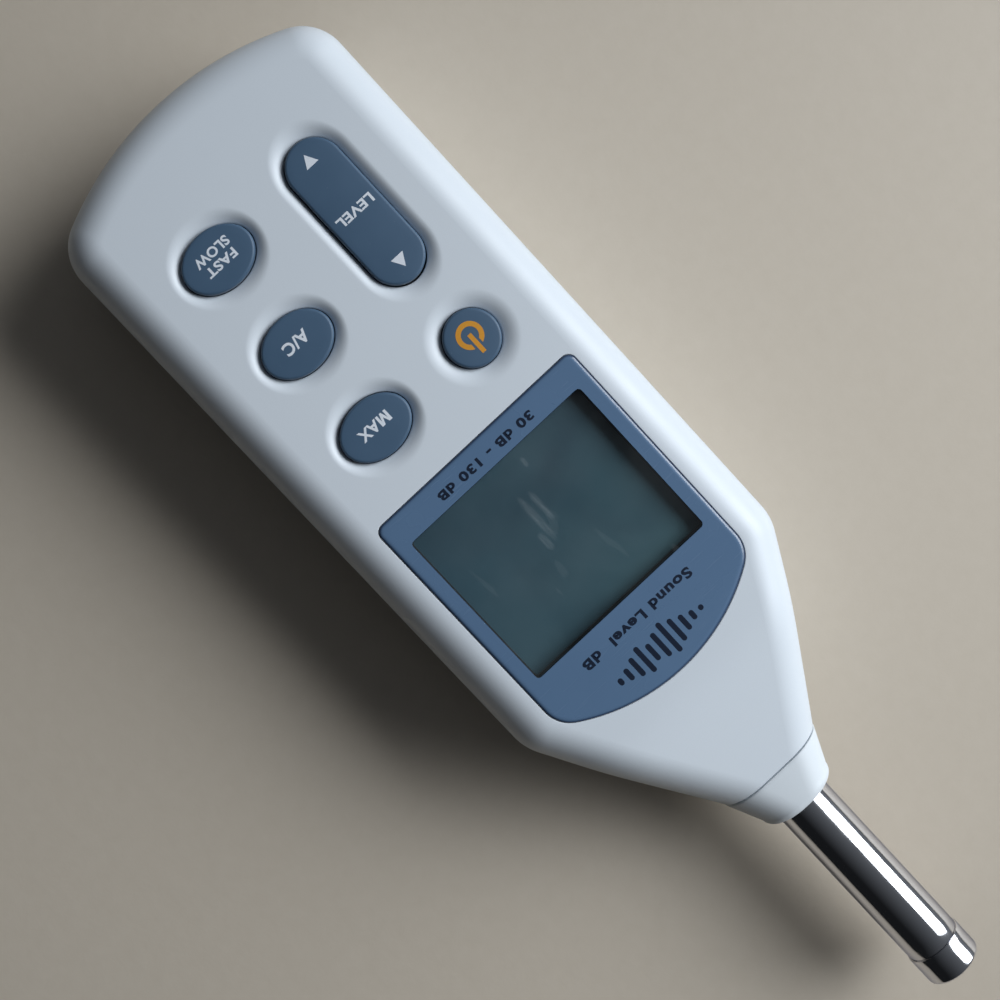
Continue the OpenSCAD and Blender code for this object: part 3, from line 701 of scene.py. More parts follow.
class Nodes:
    """Short names for building the nodes of a material or a world."""

    def __init__(self, owner):
        self.owner = owner
        owner.use_nodes = True
        self.tree = owner.node_tree
        self.tree.nodes.clear()
        self.place = self.node("ShaderNodeTexCoord").outputs["Object"]

    def node(self, kind, inputs=None, **settings):
        n = self.tree.nodes.new(kind)
        for key, value in settings.items():
            setattr(n, key, value)
        for key, value in (inputs or {}).items():
            self.set(n.inputs[key], value)
        return n

    def set(self, socket, value):
        if isinstance(value, bpy.types.NodeSocket):
            self.tree.links.new(value, socket)
        elif isinstance(value, (tuple, list)) and len(value) == 3 and socket.type == "RGBA":
            socket.default_value = (*value, 1)
        else:
            socket.default_value = value

    def noise(self, per_mm, detail=3.0, roughness=0.5, distortion=0.0, stretch=None):
        """Noise of about per_mm features to a millimetre."""
        place = self.place
        if stretch:
            place = self.node("ShaderNodeMapping", {"Vector": place, "Scale": stretch}).outputs[0]
        inputs = {"Vector": place, "Scale": per_mm / MM, "Detail": detail, "Roughness": roughness,
                  "Distortion": distortion}
        return self.node("ShaderNodeTexNoise", inputs).outputs["Fac"]

    def ramp(self, value, low, high, out_low=0.0, out_high=1.0):
        inputs = {"Value": value, "From Min": low, "From Max": high, "To Min": out_low, "To Max": out_high}
        return self.node("ShaderNodeMapRange", inputs).outputs[0]

    def math(self, operation, a, b=0.0):
        return self.node("ShaderNodeMath", {0: a, 1: b}, operation=operation).outputs[0]

    def times(self, a, b):
        return self.math("MULTIPLY", a, b)

    def sum(self, a, b):
        return self.math("ADD", a, b)

    def axes(self, vector):
        return self.node("ShaderNodeSeparateXYZ", {0: vector}).outputs

    def mix(self, share, a, b):
        n = self.node("ShaderNodeMix", data_type="RGBA")
        for place, value in ((0, share), (6, a), (7, b)):
            self.set(n.inputs[place], value)
        return n.outputs[2]

    def blend(self, share, a, b):
        """Shader between a and b."""
        return self.node("ShaderNodeMixShader", {0: share, 1: a, 2: b}).outputs[0]

    def bump(self, height, distance_mm):
        return self.node("ShaderNodeBump", {"Height": height, "Distance": distance_mm * MM}).outputs[0]

    def surface(self, **inputs):
        """Ends the material with a Principled surface; names use _ for spaces."""
        shader = self.node("ShaderNodeBsdfPrincipled")
        for key, value in inputs.items():
            self.set(shader.inputs[key.replace("_", " ")], value)
        return self.finish(shader.outputs[0])

    def finish(self, shader):
        kind = "World" if isinstance(self.owner, bpy.types.World) else "Material"
        self.tree.links.new(shader, self.node("ShaderNodeOutput" + kind).inputs["Surface"])
        return self.owner


def new_material(name):
    return Nodes(bpy.data.materials.new(name))


def shade(colour, factor):
    return tuple(c * factor for c in colour)


def moulded(name, colour, roughness, grain=0.012, per_mm=3.0, variation=0.04):
    """Injection-moulded plastic: fine spark texture, faint cloudiness and handling shine."""
    n = new_material(name)
    cloud = n.noise(0.02, 4)
    fine = n.noise(per_mm, 4, 0.6)
    base = n.mix(cloud, shade(colour, 1 - variation), shade(colour, 1 + variation))
    base = n.mix(n.ramp(fine, 0.35, 0.65), shade(colour, 0.985), base)
    wear = n.ramp(n.noise(0.06, 5, 0.6), 0.3, 0.7, roughness - 0.05, roughness + 0.05)
    return n.surface(Base_Color=base, Roughness=wear, Normal=n.bump(fine, grain))


def rubbery(name, colour, roughness=0.55):
    """Satin silicone with a soft sheen and tiny specks of dust."""
    n = new_material(name)
    fine = n.noise(5.0, 3, 0.6)
    cloud = n.noise(0.12, 3)
    dust = n.ramp(n.noise(2.2, 2, 0.5), 0.74, 0.8)
    base = n.mix(cloud, shade(colour, 0.93), shade(colour, 1.07))
    base = n.mix(n.times(dust, 0.22), base, (0.45, 0.5, 0.55))
    rough = n.ramp(cloud, 0.2, 0.8, roughness - 0.06, roughness + 0.06)
    return n.surface(Base_Color=base, Roughness=rough, Normal=n.bump(fine, 0.008),
                     Sheen_Weight=0.12, Sheen_Roughness=0.4)


def metal(name, colour, roughness, streak_depth):
    """Turned metal with fine machining marks."""
    n = new_material(name)
    marks = n.noise(2.0, 4, 0.6)
    rough = n.ramp(n.noise(0.15, 3), 0.3, 0.7, roughness * 0.7, roughness * 1.4)
    base = n.mix(marks, shade(colour, 0.96), colour)
    return n.surface(Base_Color=base, Metallic=1.0, Roughness=rough, Normal=n.bump(marks, streak_depth))


def chrome_material():
    """Bright plating, smooth apart from faint handling smears, a little darker at grazing angles."""
    n = new_material("chrome")
    plate = (0.84, 0.84, 0.86)
    base = n.mix(n.noise(2.0, 4, 0.6), shade(plate, 0.96), plate)
    rough = n.ramp(n.noise(0.15, 3), 0.3, 0.7, 0.063, 0.126)
    return n.surface(Base_Color=base, Metallic=1.0, Roughness=rough, Specular_Tint=(0.42, 0.44, 0.54))


def ink(name, colour, roughness=0.5):
    """Screen-printed ink with a slightly broken edge tone."""
    n = new_material(name)
    fine = n.noise(6.0, 2)
    base = n.mix(n.ramp(fine, 0.3, 0.7), shade(colour, 0.9), colour)
    return n.surface(Base_Color=base, Roughness=roughness, Normal=n.bump(fine, 0.004))


def panel_material():
    """Back-printed acrylic: flat blue under a hard glossy surface, with painted shade that darkens the blue
    on its bevel.
    """
    n = new_material("panel_blue")
    blue = (0.103, 0.180, 0.298)
    cloud = n.noise(0.05, 4)
    base = n.mix(cloud, shade(blue, 0.94), shade(blue, 1.06))
    tilt = n.axes(n.node("ShaderNodeNewGeometry").outputs["Normal"])[2]
    # painted shade: faces that tilt away from straight up, as on the bevel, are coloured a darker blue
    base = n.mix(n.ramp(tilt, 0.90, 0.985), (0.035, 0.065, 0.13), base)
    scratch = n.ramp(n.noise(0.9, 2, 0.4, stretch=(0.15, 2.0, 1.0)), 0.66, 0.72)
    rough = n.sum(n.ramp(cloud, 0.3, 0.7, 0.22, 0.32), n.times(scratch, 0.12))
    return n.surface(Base_Color=base, Roughness=rough, Normal=n.bump(n.noise(4.0, 2), 0.0015),
                     Coat_Weight=0.35, Coat_Roughness=0.08)


def pane_material():
    """Thin clear acrylic: see-through with surface reflections, a finger smudge and hair scratches."""
    n = new_material("clear_pane")
    x, y, _ = n.axes(n.place)
    smudge = 0.0
    strokes = ((-1.4, -6.5, 0.65, 3.6), (1.0, -5.2, 0.8, 5.4), (2.8, -0.6, 0.75, 2.1),
               (-4.8, -15.2, 0.5, 1.1))
    for sx, sy, half_x, half_y in strokes:
        dx = n.math("DIVIDE", n.math("SUBTRACT", x, (WINDOW.x + sx) * MM), half_x * MM)
        dy = n.math("DIVIDE", n.math("SUBTRACT", y, (WINDOW.y + sy) * MM), half_y * MM)
        square, fourth = (n.math("POWER", n.math("ABSOLUTE", d), p) for d, p in ((dx, 2.0), (dy, 4.0)))
        smudge = n.math("MAXIMUM", smudge, n.ramp(n.sum(square, fourth), 0.1, 1.5, 1.0, 0.0))
    streaky = n.noise(1.0, 3, stretch=(2.5, 0.25, 1.0))
    smudge = n.times(smudge, n.ramp(streaky, 0.3, 0.7, 0.15, 1.0))
    haze = n.ramp(n.noise(0.06, 4), 0.35, 0.7, 0.0, 0.03)
    hair = n.ramp(n.noise(0.35, 2, 0.3, distortion=0.4, stretch=(1.0, 0.25, 1.0)), 0.70, 0.73, 0.0, 0.025)
    front = n.math("SUBTRACT", 1.0, n.node("ShaderNodeNewGeometry").outputs["Backfacing"])
    film = n.times(n.sum(n.times(smudge, 0.12), n.sum(haze, hair)), front)
    clear = n.node("ShaderNodeBsdfTransparent", {"Color": (0.93, 0.96, 0.95)}).outputs[0]
    dull = n.node("ShaderNodeBsdfDiffuse", {"Color": (0.62, 0.68, 0.7)}).outputs[0]
    gloss = n.node("ShaderNodeBsdfGlossy", {"Color": (1, 1, 1), "Roughness": 0.05}).outputs[0]
    shine = n.times(n.node("ShaderNodeFresnel", {"IOR": 1.49}).outputs[0], front)
    return n.finish(n.blend(shine, n.blend(film, clear, dull), gloss))


def lcd_material():
    """Unlit liquid-crystal cell: dark teal with faint clouds, painted lighter towards -x and +y (painted
    light from the lamp's side), with a soft surface.
    """
    n = new_material("lcd_glass")
    x, y, _ = n.axes(n.place)
    # painted light: the teal is lighter towards the lamp's side (-x, +y) and darker away from it
    painted_light_drift = n.ramp(n.math("SUBTRACT", y, x), -0.02, 0.075)
    cloud = n.noise(0.035, 4, distortion=0.4)
    teal = n.mix(painted_light_drift, (0.058, 0.102, 0.142), (0.078, 0.140, 0.168))
    base = n.mix(n.ramp(cloud, 0.35, 0.65), (0.048, 0.084, 0.114), teal)
    return n.surface(Base_Color=base, Roughness=0.35, Normal=n.bump(n.noise(7.0, 1), 0.003),
                     Specular_IOR_Level=0.3)


def board_material():
    """Green solder mask with paler tracks and gold dots."""
    n = new_material("board_green")
    brick = {"Vector": n.place, "Scale": 320.0, "Mortar Size": 0.05}
    tracks = n.node("ShaderNodeTexBrick", brick).outputs["Fac"]
    cells = n.node("ShaderNodeTexVoronoi", {"Vector": n.place, "Scale": 420.0}).outputs["Distance"]
    dots = n.ramp(cells, 0.10, 0.13, 1.0, 0.0)
    base = n.mix(dots, n.mix(tracks, (0.012, 0.10, 0.05), (0.02, 0.16, 0.08)), (0.7, 0.5, 0.2))
    return n.surface(Base_Color=base, Metallic=n.times(dots, 0.9), Roughness=0.35,
                     Normal=n.bump(tracks, 0.02))


def cell_material():
    """Battery sleeve: a graphite body with a pale band and bare steel ends."""
    n = new_material("cell")
    middle, half = middle_and_half("batteries")
    reach = half.y * MM
    far = n.math("ABSOLUTE", n.math("SUBTRACT", n.axes(n.place)[1], middle.y * MM))
    inner, outer = (n.ramp(far, reach * share, reach * (share + 0.005)) for share in (0.62, 0.70))
    band = n.times(inner, n.math("SUBTRACT", 1.0, outer))
    steel = n.ramp(far, reach * 0.935, reach * 0.94)
    base = n.mix(steel, n.mix(band, (0.045, 0.05, 0.06), (0.62, 0.64, 0.66)), (0.6, 0.6, 0.58))
    scuff = n.noise(1.2, 4)
    return n.surface(Base_Color=base, Metallic=n.math("MAXIMUM", steel, 0.35),
                     Roughness=n.ramp(scuff, 0.3, 0.7, 0.28, 0.42), Normal=n.bump(scuff, 0.003))


ABS = moulded("abs_white", (0.70, 0.75, 0.80), 0.42, grain=0.010, per_mm=3.5, variation=0.012)
COLLAR = moulded("abs_collar", (0.71, 0.755, 0.79), 0.45, grain=0.008, per_mm=3.5, variation=0.012)
BLUE = panel_material()
PANE = pane_material()
LCD = lcd_material()
SLATE = rubbery("key_slate", (0.058, 0.112, 0.184), 0.5)
BLACK = moulded("black_plastic", (0.018, 0.018, 0.020), 0.5, per_mm=2.0, variation=0.15)
WHITE = moulded("white_plastic", (0.82, 0.82, 0.80), 0.5, variation=0.02)
FOAM = rubbery("foam", (0.012, 0.012, 0.013), 0.9)
ACETAL = moulded("acetal", (0.78, 0.77, 0.70), 0.35, variation=0.03)
CARBON = rubbery("carbon", (0.02, 0.02, 0.022), 0.7)
ELASTOMER = rubbery("elastomer", (0.55, 0.32, 0.33), 0.6)
TRIMMER = moulded("trimmer_blue", (0.03, 0.09, 0.42), 0.4)
CHROME = chrome_material()
STEEL = metal("steel", (0.56, 0.57, 0.58), 0.3, 0.004)
NICKEL = metal("nickel", (0.66, 0.65, 0.61), 0.2, 0.002)
BRASS = metal("brass", (0.72, 0.52, 0.22), 0.25, 0.003)
BOARD = board_material()
CELL = cell_material()
RED = rubbery("wire_red", (0.42, 0.02, 0.015), 0.45)
GREY = rubbery("wire_grey", (0.10, 0.10, 0.11), 0.5)
LEGEND = ink("legend_white", (0.80, 0.84, 0.90))
ORANGE = ink("legend_orange", (0.72, 0.31, 0.025))
DARK_INK = ink("panel_ink", (0.009, 0.016, 0.035), 0.3)


# ---- display -------------------------------------------------------------------------------


def in_window(point, margin=0.03):
    return all(abs(point[k] / MM - WINDOW[k]) < WINDOW_HALF[k] + margin for k in range(2))


def display_panel():
    """Blue panel with a wide soft bevel; its underside and the window's walls are black."""
    m = Mesh()
    bottom, top = panel_low.z, TOP - PRINT
    bevel_w, bevel_h, hold, window_break = 1.05, 0.42, 0.3, 0.06
    gap = PANEL_GAP * 0.6
    rings = [m.flat_ring(panel_outline(gap), bottom)]
    for inset, drop in rounding(bevel_w, bevel_h, 8):
        rings.append(m.flat_ring(panel_outline(gap + inset), top - drop))
    rings.append(m.flat_ring(panel_outline(gap + bevel_w + hold), top))
    levels = ((window_break, top), (0.0, top - window_break), (0.0, bottom))
    m.surround(rings, [m.flat_ring(window_outline(grow), z) for grow, z in levels])
    panel = piece("blue_panel", m, BLUE)
    panel.data.materials.append(BLACK)
    for face in panel.data.polygons:
        wall = all(in_window(panel.data.vertices[i].co) for i in face.vertices)
        if wall or face.normal.z < -0.5:
            face.material_index = 1
    stand_in(panel, "display_panel")


def window_pane():
    """Clear pane with polished edges, set just below the panel's face."""
    low, high = box("window_pane")
    gap, r = 0.02, 0.1
    levels = ((gap + r, low.z), (gap, low.z + r), (gap, high.z - r), (gap + r, high.z))
    m = Mesh()
    m.stack([m.flat_ring(window_outline(-inset), z) for inset, z in levels])
    stand_in(piece("clear_window", m, PANE), "window_pane")


def lcd_cell():
    """Two glass plates with a polariser sheet, the lower plate longer for its contact ledge."""
    middle, half = middle_and_half("lcd_glass")
    low_z, thick = middle.z - half.z, 2 * half.z
    ledge, cut, sheet_inset = 1.8, 0.08, 0.6
    layers = ((half.x, half.y, 0, thick / 2), (half.x, half.y - ledge / 2, thick / 2, thick * 2.8 / 3),
              (half.x - sheet_inset, half.y - ledge, thick * 2.8 / 3, thick))
    m = Mesh()
    rings = []
    for half_x, half_y, z0, z1 in layers:
        for z, inset in ((z0, cut), (z0 + cut, 0), (z1 - cut, 0), (z1, cut)):
            outline = rounded_rectangle(middle, (half_x - inset, half_y - inset), 0.3, 3)
            rings.append(m.flat_ring(outline, low_z + z))
    m.stack(rings)
    stand_in(piece("lcd_cell", m, LCD), "lcd_glass")


def gasket():
    """Foam ring round the window, its edges pressed soft."""
    low, high = box("lcd_gasket")
    grow, bite, soft, rise = high.x - WINDOW_HALF.x, 0.2, 0.15, 0.2
    levels = ((low.z, soft), (low.z + rise, 0), (high.z - rise, 0), (high.z, soft))
    m = Mesh()
    rings = [m.flat_ring(window_outline(grow - cut), z) for z, cut in levels]
    rings += [m.flat_ring(window_outline(cut - bite), z) for z, cut in reversed(levels)]
    m.skin(rings, loop=True)
    stand_in(piece("foam_gasket", m, FOAM), "lcd_gasket")


# ---- keys and their legends ----------------------------------------------------------------


def key_cap(key):
    """Key with a flange below the cover, a gently domed top and a soft rolled rim."""
    x, y = key.centre
    flange_high = FACE_Z - WALL - 0.3
    flange_low = flange_high - 0.9
    chamfer, foot = 0.1, 0.15
    m = Mesh()
    rings = [m.flat_ring(key.outline(-foot), key.low), m.flat_ring(key.outline(0), key.low + foot)]
    if not key.is_rocker:
        rings += [m.flat_ring(key.outline(grow), z) for grow, z in (
            (0, flange_low), (FLANGE - chamfer, flange_low), (FLANGE, flange_low + chamfer),
            (FLANGE, flange_high - chamfer), (FLANGE - chamfer, flange_high), (0, flange_high))]
    levels = rounding(KEY_RIM, KEY_RIM * 0.8, 8)
    levels += [(KEY_RIM + share * (min(key.half_x, key.half_y) - KEY_RIM), 0) for share in (0.25, 0.6, 0.85)]
    for inset, drop in levels:
        rings.append(m.ring([(px, py, key.crown(px, py) - drop) for px, py in key.outline(-inset)]))
    m.stack(rings)
    cap = piece(key.node.replace("key", "cap"), m, SLATE)
    if key.is_rocker:
        wing_x, wing_y = key.half_x + FLANGE, 5
        wings = block((x - wing_x, y - wing_y, flange_low), (x + wing_x, y + wing_y, flange_high))
        carve(cap, wings, "UNION")
        pivot = box("rocker_pivot")[1]
        pivot_r, pivot_z = 0.9, pivot.z - 0.85
        reach = pivot.x - x + 0.3
        carve(cap, rod((x - reach, y, pivot_z), "x", pivot_r, 2 * reach))
        carve(cap, block((x - reach, y - pivot_r, key.low - PAST), (x + reach, y + pivot_r, pivot_z)))
    stand_in(cap, key.node, key.body)


def lettering(text, width, height, centre, bold=0.03, spacing=1.05):
    """Upright letters as a Mesh with z 0 to 1, fitted to a width and capital height in millimetres."""
    curve = bpy.data.curves.new("letters", "FONT")
    curve.body = text
    curve.align_x = "CENTER"
    curve.align_y = "CENTER"
    curve.offset = bold
    curve.extrude = 0.5
    curve.resolution_u = 5
    curve.space_character = spacing
    obj = bpy.data.objects.new("letters", curve)
    bpy.context.scene.collection.objects.link(obj)
    data = evaluated_mesh(obj)
    m = Mesh()
    m.points = [tuple(v.co) for v in data.vertices]
    m.faces = [tuple(f.vertices) for f in data.polygons]
    bpy.data.objects.remove(obj)
    bpy.data.curves.remove(curve)
    bpy.data.meshes.remove(data)
    xs, ys, _ = zip(*m.points)
    sx, sy = width / (max(xs) - min(xs)), height / (max(ys) - min(ys))
    mx, my = (max(xs) + min(xs)) / 2, (max(ys) + min(ys)) / 2
    return m.moved(lambda x, y, z: (centre[0] + (x - mx) * sx, centre[1] + (y - my) * sy, z + 0.5))


def flat_shape(outlines):
    """Flat shapes as one Mesh with z 0 to 1."""
    m = Mesh()
    for outline in outlines:
        m.stack([m.flat_ring(outline, 0), m.flat_ring(outline, 1)])
    return m


def capital_m(width, height, centre):
    """A bold M, drawn because the built-in letter runs into itself when it is thickened."""
    w, h = width / 2, height / 2
    stroke = 0.22 * width
    foot, shoulder = 0.35 * stroke, 1.3 * stroke
    half = [(foot, -h), (w - stroke, 0.3 * h), (w - stroke, -h), (w, -h), (w, h), (w - shoulder, h)]
    corners = half + [(0, -0.15 * h)] + [(-x, y) for x, y in reversed(half)]
    return flat_shape([[(centre[0] + x, centre[1] + y) for x, y in corners]])


def bar(x0, x1, y0, y1, r):
    return rounded_rectangle(((x0 + x1) / 2, (y0 + y1) / 2), ((x1 - x0) / 2, (y1 - y0) / 2), r, 3)


def power_icon(centre):
    """Ring open at the top with a bar through the opening."""
    r_out, stroke, bar_half, open_half = 2.87, 1.05, 0.48, 1.02
    bar_low, bar_high, corner = 0.3, 4.3, 0.08
    r_in = r_out - stroke
    a_out = math.degrees(math.acos(open_half / r_out))
    a_in = math.degrees(math.acos(open_half / r_in))
    x, y = centre
    ring = arc((x, y), r_out, -180 - a_out, a_out, 48) + arc((x, y), r_in, a_in, -180 - a_in, 40)
    return flat_shape([ring, bar(x - bar_half, x + bar_half, y - bar_low, y + bar_high, corner)])


def triangle(centre, half_w, rise):
    """Triangle that points up the key, or down it when rise is negative."""
    x, y = centre
    points = [(x - half_w, y - rise / 2), (x + half_w, y - rise / 2), (x, y + rise / 2)]
    return flat_shape([points])


def print_on(key, name, material, *marks):
    """Prints marks on a key's domed top, sunk a little so that they leave no gap."""
    sunk = 0.12
    m = Mesh()
    for mark in marks:
        m.add(mark)
    m.moved(lambda x, y, z: (x, y, key.crown(x, y) - sunk + (sunk + PRINT) * z))
    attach(piece(name, m, material, 20), key.body)


def legends():
    def at(key, dx, dy):
        return (key.centre[0] + dx, key.centre[1] + dy)

    print_on(POWER, "power_legend", ORANGE, power_icon(at(POWER, 0, -0.65)))
    print_on(MAXIMUM, "max_legend", LEGEND, capital_m(2.6, 2.4, at(MAXIMUM, -2.45, -0.35)),
             lettering("AX", 4.75, 2.4, at(MAXIMUM, 1.4, -0.35)))
    print_on(WEIGHTING, "weighting_legend", LEGEND, lettering("A/C", 5.9, 2.6, at(WEIGHTING, 0, -0.4)))
    print_on(RESPONSE, "response_legend", LEGEND, lettering("FAST", 7.3, 2.0, at(RESPONSE, 0, 1.0)),
             lettering("SLOW", 8.3, 2.05, at(RESPONSE, 0, -1.75)))
    print_on(LEVEL, "level_legend", LEGEND, lettering("LEVEL", 8.9, 2.05, at(LEVEL, 0, -0.1)),
             triangle(at(LEVEL, 0, 13.1), 1.55, 2.65), triangle(at(LEVEL, 0, -13.3), 1.5, -2.6))


def panel_markings():
    """Generic marks on the panel: a row of level bars, the quantity and its range."""
    heights = (1.2, 2.2, 3.8, 5.7, 7.7, 6.1, 4.2, 6.6, 4.7, 2.9, 1.6)
    pitch, half, y = 2.2, 0.55, 61.6
    first = -(len(heights) - 1) / 2 * pitch
    bars = []
    for i, height in enumerate(heights):
        x = first + i * pitch
        bars.append(bar(x - half, x + half, y - height / 2, y + height / 2, half * 0.95))
    marks = flat_shape(bars)
    marks.add(lettering("Sound Level  dB", 29.0, 2.3, (0, 54.5), 0.04, 1.12))
    marks.add(lettering("30 dB - 130 dB", 25.0, 2.05, (0, 9.65), 0.04, 1.12))
    sunk = 0.1
    marks.moved(lambda x, y, z: (x, y, TOP - sunk + sunk * z))
    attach(piece("panel_markings", marks, DARK_INK, 20), "housing")


# ---- microphone ----------------------------------------------------------------------------


def collar_ring(m, w, h, y, n=22):
    """Rounded-oblong section of the collar, half width w and half height h."""
    turn = [math.pi * i / n for i in range(n + 1)]
    right = [(w - h + h * math.sin(t), h * math.cos(t)) for t in turn]
    left = [(-x, -z) for x, z in right]
    return m.ring([(x, y, PARTING + z) for x, z in right + left])


def collar():
    """Collar round the tube: a tapering oblong whose mouth is well rounded."""
    y0, y1 = NOSE_Y + 0.3, collar_high.y
    end_w, end_h, rim, lip, soft = 9.3, 7.9, 2.0, 0.3, 0.09
    tube_r = box("mic_tube")[1].x
    m = Mesh()
    rings = [collar_ring(m, NOSE_HALF_W - lip, NOSE_HALF_H - lip, y0),
             collar_ring(m, NOSE_HALF_W - soft, NOSE_HALF_H - soft, y0 + soft)]
    steps = 10
    for k in range(steps + 1):
        u = k / steps
        y = y0 + lip + (y1 - rim - y0 - lip) * u
        rings.append(collar_ring(m, NOSE_HALF_W + (end_w - NOSE_HALF_W) * u,
                                 NOSE_HALF_H + (end_h - NOSE_HALF_H) * u, y))
    for inset, drop in rounding(rim, rim, 10)[1:]:
        rings.append(collar_ring(m, end_w - inset, end_h - 0.5 * inset, y1 - drop))
    m.skin(rings)
    m.cap(rings[0])
    m.cap(rings[-1])
    ring = piece("collar", m, COLLAR)
    carve(ring, rod((0, BULKHEAD_Y, PARTING), "y", SLEEVE_R - 0.1, y0 + 0.5 - BULKHEAD_Y, 96), "UNION")
    fit = tube_r + 0.02
    bore = [(0, BULKHEAD_Y - PAST), (fit, BULKHEAD_Y - PAST), (fit, y1 - 0.3), (fit + 0.1, y1 - 0.12),
            (fit + 0.38, y1 + 0.2), (fit + 0.38, y1 + PAST), (0, y1 + PAST)]
    carve(ring, lathe(bore, closed=False))
    low, high = box("tube_seal")
    inside = tube_r - 0.3
    carve(ring, lathe([(inside, low.y), (high.x, low.y), (high.x, high.y), (inside, high.y)]))
    stand_in(ring, "nose_collar")


def seal_ring():
    """O-ring in the collar's groove."""
    middle, half = middle_and_half("tube_seal")
    seal_r, tube_r = box("tube_seal")[1].x, box("mic_tube")[1].x
    r, half_r = (seal_r + tube_r) / 2, (seal_r - tube_r) / 2
    section = [(r + half_r * math.cos(a), middle.y + half.y * math.sin(a)) for a in full_turn(16)]
    stand_in(piece("o_ring", lathe(section), CARBON), "tube_seal")


def microphone_tube():
    """Polished tube, its front necked down for the cap."""
    low, high = box("mic_tube")
    cap_y = box("mic_cap")[0].y
    r, bore, neck, chamfer, steps = high.x, 5.5, 5.9, 0.2, 24
    start, length = low.y + chamfer, cap_y - low.y - 0.6
    profile = [(bore, low.y), (r - chamfer, low.y)]
    profile += [(r, start + length * k / steps) for k in range(steps)]
    profile += [(r, cap_y - 0.3), (r - 0.08, cap_y - 0.1), (r - 0.35, cap_y), (neck, cap_y), (neck, high.y),
                (bore, high.y)]
    stand_in(piece("chrome_tube", lathe(profile, 128), CHROME), "mic_tube")


def microphone_cap():
    """Screw-on cap with a chamfered seam and a rounded mouth."""
    low, high = box("mic_cap")
    r, rim, mouth, thread_r, seat_r = high.x, 0.75, 4.7, 5.95, 5.6
    y0, y1, seat_y, mouth_y = low.y, high.y, low.y + 4.3, high.y - 0.8
    profile = [(thread_r, y0 + 0.02), (r - 0.3, y0 + 0.02), (r - 0.08, y0 + 0.1), (r, y0 + 0.3), (r, y0 + 2),
               (r, y1 - 2)]
    profile += [(r - inset, y1 - drop) for inset, drop in rounding(rim, rim, 8)]
    profile += [(mouth + 0.25, y1), (mouth + 0.05, y1 - 0.08), (mouth, y1 - 0.25), (mouth, mouth_y),
                (seat_r, mouth_y), (seat_r, seat_y), (thread_r, seat_y)]
    stand_in(piece("chrome_cap", lathe(profile, 128), CHROME), "mic_cap")


def microphone_grid():
    """Protective grid with two rings of round holes about a middle one."""
    low, high = box("mic_grid")
    r, cut, hole_r = high.x, 0.1, 0.5
    profile = [(0, low.y), (r - cut, low.y), (r, low.y + cut), (r, high.y - cut), (r - cut, high.y),
               (0, high.y)]
    grid = piece("protective_grid", lathe(profile, closed=False), STEEL)
    for count, reach in ((1, 0), (6, 1.6), (12, 3.2)):
        for a in full_turn(count):
            centre = (reach * math.cos(a), low.y - PAST, PARTING + reach * math.sin(a))
            carve(grid, rod(centre, "y", hole_r, 3, 24))
    stand_in(grid, "mic_grid")


# ---- battery and sockets -------------------------------------------------------------------


def cell_places():
    """Radius and height of the four cells, and x of each with whether it faces the tail."""
    middle, half = middle_and_half("batteries")
    r = half.z
    pitch = 2 * (half.x - r) / 3
    return r, middle.z, [(middle.x - half.x + r + i * pitch, i % 2 == 0) for i in range(4)]


def battery_cells():
    """Four cells facing alternate ways, with rolled shoulders, a nub and a recessed base."""
    low, high = box("batteries")
    r, z, places = cell_places()
    nub_r, nub, end = 2.7, 1.3, CELL_LENGTH
    profile = [(0, 0), (nub_r - 0.3, 0), (nub_r, 0.3), (nub_r, nub - 0.05), (r - 1.6, nub),
               (r - 1.3, nub - 0.25), (r - 0.5, nub - 0.05), (r - 0.12, nub + 0.35), (r, nub + 0.9),
               (r, end / 3), (r, end - 1),
               (r - 0.15, end - 0.45), (r - 0.6, end - 0.12), (r - 1.3, end), (r - 2.2, end - 0.15),
               (r - 2.4, end - 0.02), (0, end - 0.02)]
    m = Mesh()
    for x, to_tail in places:
        cell = lathe(profile, 64, closed=False)
        m.add(swung(cell, (x, high.y, z), "-y") if to_tail else swung(cell, (x, low.y, z), "y"))
    stand_in(piece("battery_cells", m, CELL), "batteries")


def contact_springs():
    """Conical spring on the flat end of each cell."""
    low, high = box("batteries")
    springs_low, springs_high = box("battery_springs")
    _, z, places = cell_places()
    wire_r, turns, steps, wide, narrow = 0.4, 3, 28, 4.6, 2.8
    m = Mesh()
    for x, to_tail in places:
        if to_tail:
            base, tip = springs_low.y + wire_r, high.y - CELL_LENGTH - wire_r
        else:
            base, tip = springs_high.y - wire_r, low.y + CELL_LENGTH + wire_r
        path = []
        for k in range(turns * steps + 1):
            u = k / (turns * steps)
            a = 2 * math.pi * turns * u
            reach = wide + (narrow - wide) * u
            path.append((x + reach * math.cos(a), base + (tip - base) * u, z + reach * math.sin(a)))
        m.add(wire(path, wire_r * 0.96, 10))
    stand_in(piece("contact_springs", m, NICKEL), "battery_springs")


def threaded_insert():
    """Brass insert with a real internal thread."""
    _, high = box("tripod_insert")
    outer, depth = high.x - 0.03, high.z
    root_r, thread_depth, pitch, mouth, mouth_depth = 2.6, 0.42, 1.27, 0.35, 0.6
    steps, rows = 64, 96
    m = Mesh()
    rings = []
    for j in range(rows + 1):
        z = depth * j / rows
        ring = []
        for i, a in enumerate(full_turn(steps)):
            phase = (z / pitch - i / steps) % 1
            r = root_r + thread_depth * (1 - abs(2 * phase - 1)) + mouth * max(0, 1 - z / mouth_depth)
            ring.append((r * math.cos(a), r * math.sin(a), z))
        rings.append(m.ring(ring))
    for r, z in ((outer, depth), (outer, 0.2), (outer - 0.22, 0)):
        rings.append(m.flat_ring([(r * math.cos(a), r * math.sin(a)) for a in full_turn(steps)], z))
    m.skin(rings, loop=True)
    stand_in(piece("threaded_insert", m, BRASS), "tripod_insert")


